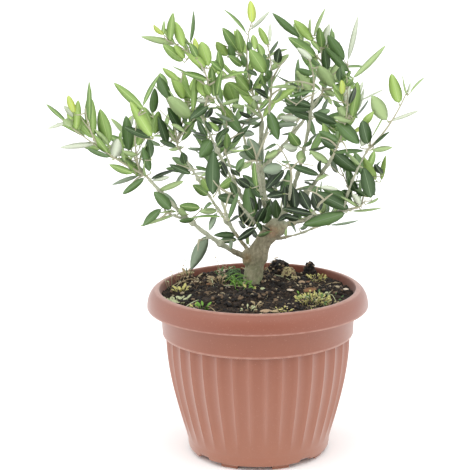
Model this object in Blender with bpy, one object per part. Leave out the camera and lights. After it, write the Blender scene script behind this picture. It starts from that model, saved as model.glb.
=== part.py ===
"""Olive bonsai in its fluted pot: pot, soil, trunk, boughs and leafy masses.

Units are metres with +Z up. The origin is the middle of the pot's flat underside.
The rows below give places and sizes in millimetres, seen from the front: x to the right,
y to the back and z up.
"""

import math
import random

import bmesh
import bpy
import numpy as np
from mathutils import Vector
from mathutils.bvhtree import BVHTree

MM = 0.001
TOUCH_GAP = 0.3 * MM
UP = Vector((0, 0, 1))

# Pot: one moulding, turned about the z axis, with scalloped flutes and eight feet.
POT_SEGMENTS = 72
RIDGE_TURN = math.radians(-4.3)
LIP_RADIUS = 99.5 * MM
LIP_HEIGHT = 169 * MM
COLLAR_RADIUS = 111 * MM
COLLAR_EDGE_HEIGHT = 150 * MM
COLLAR_STEPS = 3
BAND_TOP_RADIUS = 97.5 * MM
BAND_FOOT_RADIUS = 96 * MM
BAND_FOOT_HEIGHT = 123.5 * MM
FLUTE_TOP_RADIUS = 92.6 * MM
FLUTE_TOP_HEIGHT = 122.5 * MM
FLUTE_FOOT_RADIUS = 74.5 * MM
FLUTE_FOOT_HEIGHT = 17 * MM
FLUTE_DEPTH = 1.7 * MM
FLUTE_STEPS = 3
BASE_RADIUS = 72 * MM
BASE_TOP_HEIGHT = 13 * MM
BASE_EDGE_RADIUS = 70 * MM
FOOT_HEIGHT = 4.5 * MM
FOOT_REACH = 67 * MM
FOOT_DISC_RADIUS = 50 * MM
FOOT_COUNT = 8
FOOT_FIRST_SEGMENT = 3
FOOT_SEGMENTS = 3
WALL = 2.4 * MM
FLOOR_HEIGHT = 8 * MM

# Soil: fills the pot and swells to a flat seat under the trunk.
SOIL_SEGMENTS = 24
SOIL_EDGE_HEIGHT = 161 * MM
SOIL_SEAT_HEIGHT = 167.2 * MM
SOIL_SEAT_RADIUS = 16 * MM
SOIL_SHARES = (0.22, 0.45, 0.7)
SOIL_LUMP = 1.6 * MM

# Trunk: from its flat cut on the soil to the fork.
TRUNK_FOOT = (-4, 22, 167.5)
TRUNK_TOP = (20, 17, 227)
TRUNK_BOW = (-6, 1, 3.5)
TRUNK_SIDES = 12
TRUNK_RINGS = 9
TRUNK_RADIUS = 7.9 * MM
TRUNK_FLARE = 3.0 * MM
TRUNK_FLARE_REACH = 0.4
TRUNK_BURL = 2.6 * MM
TRUNK_BURL_PLACE = 0.43
TRUNK_BURL_REACH = 0.13
TRUNK_FORK_SWELL = 2.0 * MM
TRUNK_FORK_REACH = 0.25

# Boughs: name, parent, share of the way along the parent, tip, sideways bow of the
# middle, radius at the root and at the tip.
BOUGHS = (
    ("bough_left_low", "trunk", 0.4, (-105, -30, 286), (3, 6, -14), 3.3, 1.7),
    ("twig_left_hanging", "bough_left_low", 0.44, (-55, 0, 218), (-1, 0, 0), 1.4, 1.4),
    ("twig_left_outer", "bough_left_low", 0.66, (-85, -18, 248), (0, 0, -1), 1.4, 1.4),
    ("bough_left_mid", "trunk", 0.44, (-78, 62, 299), (4, 2, -13), 2.5, 1.5),
    ("bough_left_up", "trunk", 0.78, (-52, -12, 341), (4, -4, -11), 2.5, 1.6),
    ("bough_left_side", "bough_left_up", 0.5, (-30, 25, 299), (0, 2, 0), 1.8, 1.4),
    ("bough_centre", "trunk", 0.9, (6, 22, 332), (-5, 1, -4), 3.3, 2.1),
    ("bough_top_right", "bough_centre", 0.78, (13, 0, 350), (2, -2, 0), 2.0, 1.6),
    ("bough_right_cross", "bough_centre", 0.6, (65, 45, 354), (0, 0, -4), 2.5, 1.8),
    ("bough_right_stem", "trunk", 0.98, (54, -10, 357), (5, -4, -5), 2.8, 1.8),
    ("bough_right_outer", "bough_right_stem", 0.12, (72, -35, 306), (1, 0, -5), 2.5, 1.8),
    ("bough_right_low", "trunk", 0.96, (92, -25, 253), (0, 2, -5), 3.3, 1.8),
    ("bough_far_right", "bough_right_low", 0.9, (104, -45, 312), (-3, -2, 0), 1.7, 1.4),
    ("twig_low_right", "trunk", 0.72, (56, 46, 217), (0, 2, -2), 1.9, 1.4),
    ("bough_front_left", "trunk", 0.88, (-22, -45, 271), (0, -5, -5), 2.4, 1.6),
    ("bough_front_centre", "bough_centre", 0.22, (0, -50, 297), (0, -6, -5), 2.3, 1.6),
    ("bough_front_right", "bough_right_stem", 0.2, (32, -55, 288), (0, -5, -5), 2.2, 1.6),
    ("bough_front_low", "bough_right_low", 0.3, (57, -62, 264), (0, -4, -4), 2.1, 1.6),
    ("bough_back_left", "bough_left_mid", 0.35, (-42, 95, 262), (0, 4, -5), 2.2, 1.6),
    ("bough_back_centre", "bough_centre", 0.34, (-11, 85, 304), (0, 6, -5), 2.3, 1.6),
    ("bough_back_right", "bough_right_cross", 0.3, (45, 98, 322), (0, 5, -5), 2.1, 1.6),
    ("bough_back_low", "trunk", 0.9, (28, 80, 240), (0, 4, -6), 2.5, 1.6),
)
BOUGH_RINGS = 5
THICK_BOUGH = 2.5
THICK_SIDES = 8
THIN_SIDES = 5

# Masses: name, bough that carries the stem, tip of the stem, sideways bow of the stem,
# then the side shoots as (share of the way along the stem, tip), and the seed.
MASSES = (
    ("leaves_left_end", "bough_left_low", (-184, -55, 348), (2, 2, -5),
     ((0.04, (-126, -5, 328)), (0.08, (-111, -50, 354)), (0.6, (-160, -66, 360)),
      (0.02, (-122, -22, 279))), 11),
    ("leaves_left_hanging", "twig_left_hanging", (-59, -4, 207), (0, 0, 0), (), 31),
    ("leaves_left_outer", "twig_left_outer", (-98, -22, 244), (0, 0, -1),
     ((0.1, (-91, -14, 263)),), 32),
    ("leaves_left_mid", "bough_left_mid", (-63, 72, 351), (-3, 0, 0),
     ((0.06, (-94, 74, 362)), (0.04, (-108, 80, 331)), (0.12, (-58, 45, 335))), 12),
    ("leaves_left_side", "bough_left_side", (-31, 42, 341), (2, 0, 0),
     ((0.2, (-12, 22, 322)),), 13),
    ("leaves_left_top", "bough_left_up", (-85, -30, 419), (20, 0, 6),
     ((0.32, (-20, -6, 381)), (0.5, (-54, -10, 400)), (0.3, (-72, -28, 388))), 14),
    ("leaves_top", "bough_centre", (-4, 10, 432), (-9, 0, 2),
     ((0.34, (-28, 38, 374)), (0.58, (-29, 25, 407)), (0.5, (22, 34, 400))), 15),
    ("leaves_top_right", "bough_top_right", (9, -15, 419), (4, 0, 0),
     ((0.35, (29, -27, 400)), (0.12, (34, 5, 371))), 16),
    ("leaves_right_top", "bough_right_cross", (63, 50, 418), (2, 0, 0),
     ((0.5, (45, 60, 407)), (0.12, (93, 35, 387)), (0.4, (85, 45, 408)),
      (0.05, (90, 34, 360))), 17),
    ("leaves_right_stem", "bough_right_stem", (50, -18, 399), (3, 0, 0),
     ((0.3, (27, -27, 377)), (0.05, (37, -34, 356))), 18),
    ("leaves_right_outer", "bough_right_outer", (85, -45, 376), (5, 0, 0),
     ((0.1, (59, -58, 329)), (0.45, (96, -34, 358)), (0.2, (84, -66, 316))), 19),
    ("leaves_far_right", "bough_far_right", (141, -60, 374), (2, 0, -4),
     ((0.03, (103, -52, 346)), (0.06, (110, -55, 318))), 20),
    ("leaves_right_end", "bough_right_low", (104, -34, 263), (0, 0, -2),
     ((0.6, (106, -18, 284)), (0.1, (88, -4, 272))), 21),
    ("leaves_right_under", "twig_low_right", (78, 58, 226), (0, 2, -2),
     ((0.3, (72, 54, 243)),), 22),
    ("leaves_front_low", "bough_front_low", (69, -89, 281), (2, 0, 2),
     ((0.25, (46, -92, 285)),), 23),
    ("leaves_front_right", "bough_front_right", (22, -88, 322), (2, -4, 0),
     ((0.3, (42, -86, 314)),), 24),
    ("leaves_front_centre", "bough_front_centre", (-8, -80, 332), (2, -4, 0),
     ((0.25, (-19, -86, 307)), (0.3, (12, -66, 338))), 25),
    ("leaves_front_left", "bough_front_left", (-42, -74, 292), (0, -3, -3),
     ((0.15, (-32, -74, 254)), (0.25, (-50, -48, 290))), 26),
    ("leaves_back_left", "bough_back_left", (-54, 125, 290), (0, 3, -2),
     ((0.2, (-74, 100, 268)), (0.3, (-28, 118, 284))), 27),
    ("leaves_back_centre", "bough_back_centre", (-26, 115, 335), (0, 3, -2),
     ((0.25, (4, 110, 330)),), 28),
    ("leaves_back_right", "bough_back_right", (50, 128, 346), (0, 3, -2),
     ((0.25, (74, 114, 316)), (0.2, (24, 120, 322))), 29),
    ("leaves_back_low", "bough_back_low", (20, 116, 254), (0, 3, -4),
     ((0.2, (52, 106, 250)),), 30),
)

# Twigs and leaves of every mass. A branchlet or leaf that finds no room is left out.
STEM_RADIUS = 1.3 * MM
SHOOT_RADIUS = 1.15 * MM
TWIG_TIP_RADIUS = 0.85 * MM
STEM_RINGS = 4
STEM_STRAIGHT = 4 * MM
SHOOT_RINGS = 2
SHOOT_BEND = 0.08
BRANCHLET_RADIUS = 0.95 * MM
BRANCHLET_LENGTH = 24 * MM
BRANCHLET_PITCH = 48 * MM
BRANCHLET_FIRST = 16 * MM
BRANCHLET_RINGS = 2
BRANCHLET_CLEARANCE = 5 * MM
TWIG_SIDES = 4
FIRST_NODE = 7 * MM
LAST_NODE = 1.5 * MM
NODE_PITCH = 14 * MM
SPARSE_PITCH = 20 * MM
SPARSE_MASSES = ("leaves_far_right", "leaves_left_hanging")
LEAF_LENGTH = 33 * MM
LEAF_WIDTH = 11 * MM
LEAF_DEPTH = 1.1 * MM
LEAF_START = 0.12 * MM
LEAF_SHIFT = 0.3 * MM
LEAF_SWING = 0.16
LEAF_ROLL = 0.9
LEAF_TRIES = 6
SPACE_MARGIN = 1.0 * MM
LIMB_MARGIN = 1.0 * MM
TWIG_MARGIN = 0.9 * MM
LEAF_FLOOR = 176 * MM
LEAF_FACES = (
    (0, 2, 3),
    (2, 4, 3),
    (3, 4, 5),
    (4, 1, 5),
    (0, 1, 2),
    (2, 1, 4),
    (0, 3, 1),
    (3, 5, 1),
)

# Colours as seen on the real plant and pot, with roughness.
FINISHES = {
    "pot": ((0.50, 0.22, 0.15), 0.55),
    "soil": ((0.035, 0.022, 0.015), 0.95),
    "bark": ((0.36, 0.29, 0.18), 0.85),
    "leaf": ((0.16, 0.27, 0.07), 0.5),
}


def clear_scene():
    for thing in list(bpy.data.objects):
        bpy.data.objects.remove(thing, do_unlink=True)


def make_material(name):
    colour, roughness = FINISHES[name]
    material = bpy.data.materials.new(name)
    material.use_nodes = True
    shader = material.node_tree.nodes["Principled BSDF"]
    shader.inputs["Base Color"].default_value = (*colour, 1)
    shader.inputs["Roughness"].default_value = roughness
    return material


def add_object(name, bm, material):
    mesh = bpy.data.meshes.new(name)
    bm.to_mesh(mesh)
    bm.free()
    mesh.materials.append(material)
    thing = bpy.data.objects.new(name, mesh)
    bpy.context.scene.collection.objects.link(thing)
    return thing


def millimetres(values):
    return Vector(values) * MM


# Turned shapes

def add_ring(bm, points):
    return [bm.verts.new(point) for point in points]


def skin(bm, lower, upper):
    count = len(lower)
    for i in range(count):
        after = (i + 1) % count
        bm.faces.new((lower[i], lower[after], upper[after], upper[i]))


def around(radius, height, segments, flute=0.0):
    """Points of a level ring; with a flute depth, every second point lies in a valley."""
    points = []
    for i in range(segments):
        angle = RIDGE_TURN + 2 * math.pi * i / segments
        reach = radius - flute * (i % 2)
        points.append((reach * math.sin(angle), -reach * math.cos(angle), height))
    return points


def body_radius(height):
    """Radius of the fluted wall's ridges at a height."""
    share = (height - FLUTE_FOOT_HEIGHT) / (FLUTE_TOP_HEIGHT - FLUTE_FOOT_HEIGHT)
    share = min(max(share, 0.0), 1.0)
    return FLUTE_FOOT_RADIUS + (FLUTE_TOP_RADIUS - FLUTE_FOOT_RADIUS) * math.sin(share * math.pi / 2)


def outer_profile():
    """Radius, height and flute depth up the pot's outside, from the underside to the lip."""
    rows = [(BASE_EDGE_RADIUS, FOOT_HEIGHT, 0.0), (BASE_RADIUS, BASE_TOP_HEIGHT, 0.0)]
    for i in range(FLUTE_STEPS + 1):
        share = i / FLUTE_STEPS
        height = FLUTE_FOOT_HEIGHT + (FLUTE_TOP_HEIGHT - FLUTE_FOOT_HEIGHT) * share
        rows.append((body_radius(height), height, FLUTE_DEPTH * min(1.0, 0.4 + 3 * share)))
    rows.append((BAND_FOOT_RADIUS, BAND_FOOT_HEIGHT, 0.0))
    rows.append((BAND_TOP_RADIUS, COLLAR_EDGE_HEIGHT, 0.0))
    for i in range(COLLAR_STEPS + 1):
        turn = math.pi / 2 * i / COLLAR_STEPS
        radius = LIP_RADIUS + (COLLAR_RADIUS - LIP_RADIUS) * math.cos(turn)
        height = COLLAR_EDGE_HEIGHT + (LIP_HEIGHT - COLLAR_EDGE_HEIGHT) * math.sin(turn)
        rows.append((radius, height, 0.0))
    return rows


def inner_profile():
    """Radius and height down the pot's inside, from the lip to the floor."""
    return [
        (LIP_RADIUS - 1.2 * MM, LIP_HEIGHT - 0.6 * MM),
        (BAND_TOP_RADIUS - WALL, COLLAR_EDGE_HEIGHT),
        (FLUTE_TOP_RADIUS - FLUTE_DEPTH - WALL, FLUTE_TOP_HEIGHT - 2.5 * MM),
        (body_radius(60 * MM) - FLUTE_DEPTH - WALL, 60 * MM),
        (BASE_RADIUS - FLUTE_DEPTH - WALL, FLOOR_HEIGHT),
    ]


def make_pot(material):
    bm = bmesh.new()
    rings = [add_ring(bm, around(FOOT_DISC_RADIUS, FOOT_HEIGHT, POT_SEGMENTS))]
    for radius, height, flute in outer_profile():
        rings.append(add_ring(bm, around(radius, height, POT_SEGMENTS, flute)))
    for radius, height in inner_profile():
        rings.append(add_ring(bm, around(radius, height, POT_SEGMENTS)))
    for lower, upper in zip(rings, rings[1:]):
        skin(bm, lower, upper)
    bm.faces.new(rings[-1])
    disc = bm.faces.new(list(reversed(rings[0])))
    # The flat underside and the feet stand down from the raised edge.
    standing = [disc]
    per_foot = POT_SEGMENTS // FOOT_COUNT
    for foot in range(FOOT_COUNT):
        for step in range(FOOT_SEGMENTS):
            i = (FOOT_FIRST_SEGMENT + foot * per_foot + step) % POT_SEGMENTS
            after = (i + 1) % POT_SEGMENTS
            edge = bm.edges.get((rings[1][i], rings[1][after]))
            standing += [face for face in edge.link_faces if rings[0][i] in face.verts]
    moved = bmesh.ops.extrude_face_region(bm, geom=standing)["geom"]
    lowered = [item for item in moved if isinstance(item, bmesh.types.BMVert)]
    bmesh.ops.delete(bm, geom=[face for face in standing if face.is_valid], context="FACES_KEEP_BOUNDARY")
    for vertex in lowered:
        vertex.co.z = 0
        reach = math.hypot(vertex.co.x, vertex.co.y)
        if reach > FOOT_REACH:
            vertex.co.x *= FOOT_REACH / reach
            vertex.co.y *= FOOT_REACH / reach
    bmesh.ops.recalc_face_normals(bm, faces=bm.faces)
    pot = add_object("pot", bm, material)
    pot.data.shade_smooth()
    pot.data.set_sharp_from_angle(angle=math.radians(35))
    return pot


def soil_height(x, y, share):
    """Height of the soil, from the seat under the trunk (share 0) to the wall (share 1)."""
    swell = 0.5 + 0.5 * math.cos(math.pi * share)
    lump = math.sin(x / (13 * MM)) * math.cos(y / (11 * MM)) * math.sin(math.pi * share)
    return SOIL_EDGE_HEIGHT + (SOIL_SEAT_HEIGHT - SOIL_EDGE_HEIGHT) * swell + SOIL_LUMP * lump


def make_soil(material):
    bm = bmesh.new()
    rings = []
    for radius, height in reversed(inner_profile()):
        if height < SOIL_EDGE_HEIGHT:
            lift = TOUCH_GAP if height == FLOOR_HEIGHT else 0.0
            rings.append(add_ring(bm, around(radius - TOUCH_GAP, height + lift, SOIL_SEGMENTS)))
    lip, collar = inner_profile()[:2]
    share = (SOIL_EDGE_HEIGHT - collar[1]) / (lip[1] - collar[1])
    edge_radius = collar[0] + (lip[0] - collar[0]) * share - TOUCH_GAP
    wall_points = around(edge_radius, SOIL_EDGE_HEIGHT, SOIL_SEGMENTS)
    rings.append(add_ring(bm, wall_points))
    seat_points = []
    for x, y, z in around(SOIL_SEAT_RADIUS, SOIL_SEAT_HEIGHT, SOIL_SEGMENTS):
        seat_points.append((x + TRUNK_FOOT[0] * MM, y + TRUNK_FOOT[1] * MM, z))
    for share in reversed(SOIL_SHARES):
        points = []
        for seat, wall in zip(seat_points, wall_points):
            x = seat[0] + (wall[0] - seat[0]) * share
            y = seat[1] + (wall[1] - seat[1]) * share
            points.append((x, y, soil_height(x, y, share)))
        rings.append(add_ring(bm, points))
    rings.append(add_ring(bm, seat_points))
    for lower, upper in zip(rings, rings[1:]):
        skin(bm, lower, upper)
    bm.faces.new(rings[-1])
    bm.faces.new(list(reversed(rings[0])))
    bmesh.ops.recalc_face_normals(bm, faces=bm.faces)
    return add_object("soil", bm, material)


# Limbs

def bowed_line(start, end, bow, steps):
    """Points from start to end, pushed sideways by bow at the middle."""
    points = []
    for i in range(steps + 1):
        t = i / steps
        points.append(start.lerp(end, t) + bow * (4 * t * (1 - t)))
    return points


def turned(ahead, side, angle):
    """The side direction turned about the ahead direction."""
    return side * math.cos(angle) + ahead.cross(side) * math.sin(angle)


def line_frames(line, roll=0.0):
    """At each point of a line, its direction and a side direction that never twists."""
    frames = []
    side = None
    for i in range(len(line)):
        ahead = (line[min(i + 1, len(line) - 1)] - line[max(i - 1, 0)]).normalized()
        if side is None:
            side = turned(ahead, ahead.orthogonal().normalized(), roll)
        side = (side - ahead * side.dot(ahead)).normalized()
        frames.append((ahead, side))
    return frames


def tube(line, radii, sides, roll=0.0):
    """A closed tube along a line, with its rings square to it and flats facing each frame's side."""
    bm = bmesh.new()
    rings = []
    for point, radius, (ahead, side) in zip(line, radii, line_frames(line, roll)):
        ring = []
        for k in range(sides):
            ring.append(point + turned(ahead, side, 2 * math.pi * (k + 0.5) / sides) * radius)
        rings.append(add_ring(bm, ring))
    for lower, upper in zip(rings, rings[1:]):
        skin(bm, lower, upper)
    bm.faces.new(list(reversed(rings[0])))
    bm.faces.new(rings[-1])
    bmesh.ops.recalc_face_normals(bm, faces=bm.faces)
    return bm


class Lines:
    """Many short straight stretches, each with a radius, for measuring how far points are."""

    def __init__(self):
        self.starts = []
        self.ends = []
        self.radii = []

    def add(self, line, radii):
        for i in range(len(line) - 1):
            self.starts.append(tuple(line[i]))
            self.ends.append(tuple(line[i + 1]))
            self.radii.append(max(radii[i], radii[i + 1]))

    def gap(self, points):
        """For each point, its distance to the nearest stretch's surface."""
        p = np.array([tuple(point) for point in points])[:, None, :]
        a = np.array(self.starts)[None, :, :]
        d = np.array(self.ends)[None, :, :] - a
        t = np.clip(((p - a) * d).sum(2) / (d * d).sum(2), 0, 1)
        gaps = np.linalg.norm(p - a - d * t[:, :, None], axis=2) - np.array(self.radii)[None, :]
        return gaps.min(axis=1)


def trunk_radius(t):
    flare = TRUNK_FLARE * math.exp(-t / TRUNK_FLARE_REACH)
    burl = TRUNK_BURL * math.exp(-((t - TRUNK_BURL_PLACE) / TRUNK_BURL_REACH) ** 2)
    swell = TRUNK_FORK_SWELL * math.exp(-((1 - t) / TRUNK_FORK_REACH) ** 2)
    return TRUNK_RADIUS + flare + burl + swell


def plan_limbs():
    """The line and the radii of the trunk and of every bough, by name."""
    limbs = {}
    line = bowed_line(millimetres(TRUNK_FOOT), millimetres(TRUNK_TOP), millimetres(TRUNK_BOW), TRUNK_RINGS)
    radii = [trunk_radius(i / TRUNK_RINGS) for i in range(TRUNK_RINGS + 1)]
    limbs["trunk"] = (line, radii)
    for name, parent, share, tip, bow, root_radius, tip_radius in BOUGHS:
        parent_line = limbs[parent][0]
        place = share * (len(parent_line) - 1)
        before = min(int(place), len(parent_line) - 2)
        root = parent_line[before].lerp(parent_line[before + 1], place - before)
        line = bowed_line(root, millimetres(tip), millimetres(bow), BOUGH_RINGS)
        radii = []
        for i in range(BOUGH_RINGS + 1):
            t = i / BOUGH_RINGS
            radii.append((root_radius + (tip_radius - root_radius) * t) * MM)
        limbs[name] = (line, radii)
    return limbs


def flatten_foot(bm, height):
    """Cut the trunk level at its foot."""
    geometry = list(bm.verts) + list(bm.edges) + list(bm.faces)
    cut = bmesh.ops.bisect_plane(
        bm, geom=geometry, plane_co=(0, 0, height), plane_no=(0, 0, 1), clear_inner=True
    )
    rim = [item for item in cut["geom_cut"] if isinstance(item, bmesh.types.BMEdge)]
    bmesh.ops.holes_fill(bm, edges=rim)


def make_trunk(line, radii, material):
    below = line[0] + (line[0] - line[1])
    bm = tube([below] + line, [radii[0]] + radii, TRUNK_SIDES)
    flatten_foot(bm, line[0].z)
    bmesh.ops.recalc_face_normals(bm, faces=bm.faces)
    return add_object("trunk", bm, material)


def baked_mesh(thing):
    """The object's mesh with its modifiers applied."""
    graph = bpy.context.evaluated_depsgraph_get()
    graph.update()
    return bpy.data.meshes.new_from_object(thing.evaluated_get(graph))


def keep_main_body(bm):
    """Drop loose scraps and sealed hollows: only the largest closed body stays."""
    bm.faces.ensure_lookup_table()
    unseen = set(bm.faces)
    bodies = []
    while unseen:
        stack = [unseen.pop()]
        body = set(stack)
        while stack:
            face = stack.pop()
            for edge in face.edges:
                for other in edge.link_faces:
                    if other in unseen:
                        unseen.discard(other)
                        body.add(other)
                        stack.append(other)
        bodies.append(body)
    bodies.sort(key=lambda body: sum(face.calc_area() for face in body))
    scraps = [face for body in bodies[:-1] for face in body]
    bmesh.ops.delete(bm, geom=scraps, context="FACES")


def is_closed(bm):
    return len(bm.faces) > 0 and all(len(edge.link_faces) == 2 for edge in bm.edges)


def combine(thing, others, operation):
    """Join or cut an object with others in one Boolean, then remove the others."""
    group = bpy.data.collections.new("pieces")
    bpy.context.scene.collection.children.link(group)
    for other in others:
        bpy.context.scene.collection.objects.unlink(other)
        group.objects.link(other)
    result = None
    for solver in ("EXACT", "MANIFOLD"):
        modifier = thing.modifiers.new("combine", "BOOLEAN")
        modifier.operation = operation
        modifier.operand_type = "COLLECTION"
        modifier.collection = group
        modifier.solver = solver
        mesh = baked_mesh(thing)
        thing.modifiers.remove(modifier)
        bm = bmesh.new()
        bm.from_mesh(mesh)
        bpy.data.meshes.remove(mesh)
        keep_main_body(bm)
        if is_closed(bm):
            result = bm
            break
        bm.free()
    for other in others:
        bpy.data.objects.remove(other, do_unlink=True)
    bpy.data.collections.remove(group)
    if result is None:
        return False
    bmesh.ops.triangulate(result, faces=result.faces)
    result.to_mesh(thing.data)
    result.free()
    return True


def limb_gap(first, second):
    """Least distance between two limbs' surfaces, by points of the first."""
    lines = Lines()
    lines.add(*second)
    middles = [a.lerp(b, 0.5) for a, b in zip(first[0], first[0][1:])]
    return lines.gap(first[0] + middles).min() - max(first[1])


def make_boughs(limbs, material):
    """Each bough, its root cut to a saddle just clear of the limbs it grows from or passes."""
    made = [("trunk", TRUNK_SIDES)]
    near = 6 * MM
    for name, _, _, _, _, root_radius, _ in BOUGHS:
        sides = THICK_SIDES if root_radius > THICK_BOUGH else THIN_SIDES
        line, radii = limbs[name]
        bough = add_object(name, tube(line, radii, sides), material)
        cutters = []
        for other, other_sides in made:
            if limb_gap(limbs[name], limbs[other]) < near:
                other_line, other_radii = limbs[other]
                fat = [radius + TOUCH_GAP for radius in other_radii]
                longer = list(other_line)
                longer[-1] = longer[-1] + (longer[-1] - longer[-2]).normalized() * TOUCH_GAP
                cutters.append(add_object("cutter", tube(longer, fat, other_sides), material))
        combine(bough, cutters, "DIFFERENCE")
        bough.data.shade_smooth()
        bough.data.set_sharp_from_angle(angle=math.radians(50))
        made.append((name, sides))


# Twigs and leaves

def along(line, frames, share):
    """The point, direction and side direction at a share of the way along a line."""
    place = share * (len(line) - 1)
    before = min(int(place), len(line) - 2)
    point = line[before].lerp(line[before + 1], place - before)
    ahead = (line[before + 1] - line[before]).normalized()
    side = frames[before][1].lerp(frames[before + 1][1], place - before)
    return point, ahead, (side - ahead * side.dot(ahead)).normalized()


def line_length(line):
    return sum((b - a).length for a, b in zip(line, line[1:]))


def plan_shoots(limbs, limb_lines):
    """The stem and side shoots of every mass, as lists of (line, root radius, roll)."""
    plan = {}
    for name, bough, tip, bow, sides, seed in MASSES:
        rng = random.Random(seed)
        limb_line = limbs[bough][0]
        ahead = (limb_line[-1] - limb_line[-2]).normalized()
        start = limb_line[-1] + ahead * TOUCH_GAP
        bend_start = start + ahead * STEM_STRAIGHT
        stem = [start] + bowed_line(bend_start, millimetres(tip), millimetres(bow), STEM_RINGS)
        shoots = [(stem, STEM_RADIUS, rng.uniform(0, math.pi))]
        for share, side_tip in sides:
            root, stem_ahead, _ = along(stem[1:], line_frames(stem[1:]), share)
            reach = millimetres(side_tip) - root
            bend = stem_ahead * (reach.length * SHOOT_BEND)
            line = bowed_line(root, millimetres(side_tip), bend, SHOOT_RINGS)
            if limb_lines.gap(line[1:]).min() > LIMB_MARGIN + SHOOT_RADIUS:
                shoots.append((line, SHOOT_RADIUS, rng.uniform(0, math.pi)))
        plan[name] = shoots
    return plan


def add_branchlets(shoots, own, others, limb_lines, seed):
    """Short seeded branchlets along a mass's shoots, each kept only where it has room."""
    rng = random.Random(seed + 100)
    branchlets = []
    for line, _, roll in shoots:
        frames = line_frames(line, roll)
        length = line_length(line)
        place = BRANCHLET_FIRST + BRANCHLET_PITCH * rng.uniform(0, 0.5)
        while place < length * 0.8:
            root, ahead, side = along(line, frames, place / length)
            outward = turned(ahead, side, rng.choice((0, 1, 2, 3)) * math.pi / 2)
            away = (ahead + outward + UP * 0.25).normalized()
            reach = BRANCHLET_LENGTH * rng.uniform(0.75, 1.2)
            tip = root + away * reach
            twig = bowed_line(root, tip, ahead * -0.06 * reach, BRANCHLET_RINGS)
            outer = twig[1:] + [tip + away * BRANCHLET_CLEARANCE]
            crowd = Lines()
            for other, _, _ in shoots + branchlets:
                crowd.add(other, [0.0] * len(other))
            clear = limb_lines.gap(outer).min() > LIMB_MARGIN + BRANCHLET_RADIUS
            inside = (others.gap(outer) - own.gap(outer)).min() > SPACE_MARGIN + BRANCHLET_RADIUS
            if clear and inside and crowd.gap(outer).min() > BRANCHLET_CLEARANCE:
                branchlets.append((twig, BRANCHLET_RADIUS, rng.uniform(0, math.pi)))
            place += BRANCHLET_PITCH * rng.uniform(0.8, 1.2)
    return branchlets


def leaf_points(root, ahead, face, length, width):
    """The six corners of a leaf: root, tip, and two pairs along its edges."""
    side = ahead.cross(face).normalized()
    points = [root, root + ahead * length]
    for share, spread in ((0.34, 0.5), (0.68, 0.42)):
        middle = root + ahead * (length * share) + face * LEAF_DEPTH
        points.append(middle + side * (width * spread))
        points.append(middle - side * (width * spread))
    return points


def leaf_body(points):
    bm = bmesh.new()
    verts = add_ring(bm, points)
    for corners in LEAF_FACES:
        bm.faces.new([verts[i] for i in corners])
    bmesh.ops.recalc_face_normals(bm, faces=bm.faces)
    return bm


def leaf_frame(shoot_ahead, outward, open_angle, roll):
    """Direction and upper-face direction of a leaf that leaves a shoot outward."""
    ahead = shoot_ahead * math.cos(open_angle) + outward * math.sin(open_angle)
    ahead = (ahead + UP * 0.12).normalized()
    face = shoot_ahead * 0.8 + UP * 0.5
    face = face - ahead * face.dot(ahead)
    face = face.normalized()
    face = face * math.cos(roll) + ahead.cross(face) * math.sin(roll)
    return ahead, face


def grow_leaves(shoots, own, others, limb_lines, pitch, seed):
    """Pairs of leaves along a mass's shoots, each kept only where it has room."""
    rng = random.Random(seed)
    twigs = Lines()
    for line, radius, _ in shoots:
        twigs.add(line, [radius] * len(line))
    leaves = []
    trees = []

    def try_leaf(point, shoot_ahead, outward, open_angle, size):
        ahead, face = leaf_frame(shoot_ahead, outward, open_angle, rng.uniform(-LEAF_ROLL, LEAF_ROLL))
        shift = shoot_ahead * (rng.uniform(-1, 1) * LEAF_SHIFT)
        root = point + shift + ahead * LEAF_START
        points = leaf_points(root, ahead, face, LEAF_LENGTH * size, LEAF_WIDTH * (0.35 + 0.65 * size))
        tree = BVHTree.FromPolygons(points, LEAF_FACES)
        if has_room(points, own, others, limb_lines, twigs) and not any(tree.overlap(t) for t in trees):
            leaves.append(points)
            trees.append(tree)
            return True
        return False

    for line, _, roll in shoots:
        frames = line_frames(line, roll)
        length = line_length(line)
        place = FIRST_NODE
        turn = 0.0
        while place < length - LAST_NODE - pitch / 3:
            point, shoot_ahead, side = along(line, frames, place / length)
            young = (place / length) ** 3
            for half in (0, math.pi):
                for _ in range(LEAF_TRIES):
                    outward = turned(shoot_ahead, side, turn + half + rng.uniform(-LEAF_SWING, LEAF_SWING))
                    open_angle = math.radians(rng.uniform(40, 66) - 26 * young)
                    size = rng.uniform(0.72, 1.12) * (1 - 0.3 * young)
                    if try_leaf(point, shoot_ahead, outward, open_angle, size):
                        break
            turn += math.pi / 2
            place += pitch * rng.uniform(0.85, 1.15) * (1 - 0.35 * young)
        point, shoot_ahead, side = along(line, frames, 1 - LAST_NODE / length)
        for half in (0, math.pi):
            outward = turned(shoot_ahead, side, turn + half)
            try_leaf(point, shoot_ahead, outward, math.radians(22), rng.uniform(0.6, 0.75))
    return leaves


def has_room(points, own, others, limb_lines, twigs):
    """Whether a leaf keeps to its mass's own space, off the limbs and off the twigs."""
    root, tip = points[:2]
    samples = points[1:] + [root.lerp(tip, share) for share in (0.2, 0.5, 0.8)]
    if min(sample.z for sample in samples) < LEAF_FLOOR:
        return False
    if limb_lines.gap(samples).min() < LIMB_MARGIN:
        return False
    middle = [root.lerp(tip, share) for share in (0.2, 0.35, 0.5, 0.65, 0.8)]
    if twigs.gap(points[1:] + middle).min() < TWIG_MARGIN:
        return False
    return (others.gap(samples) - own.gap(samples)).min() > SPACE_MARGIN


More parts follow.
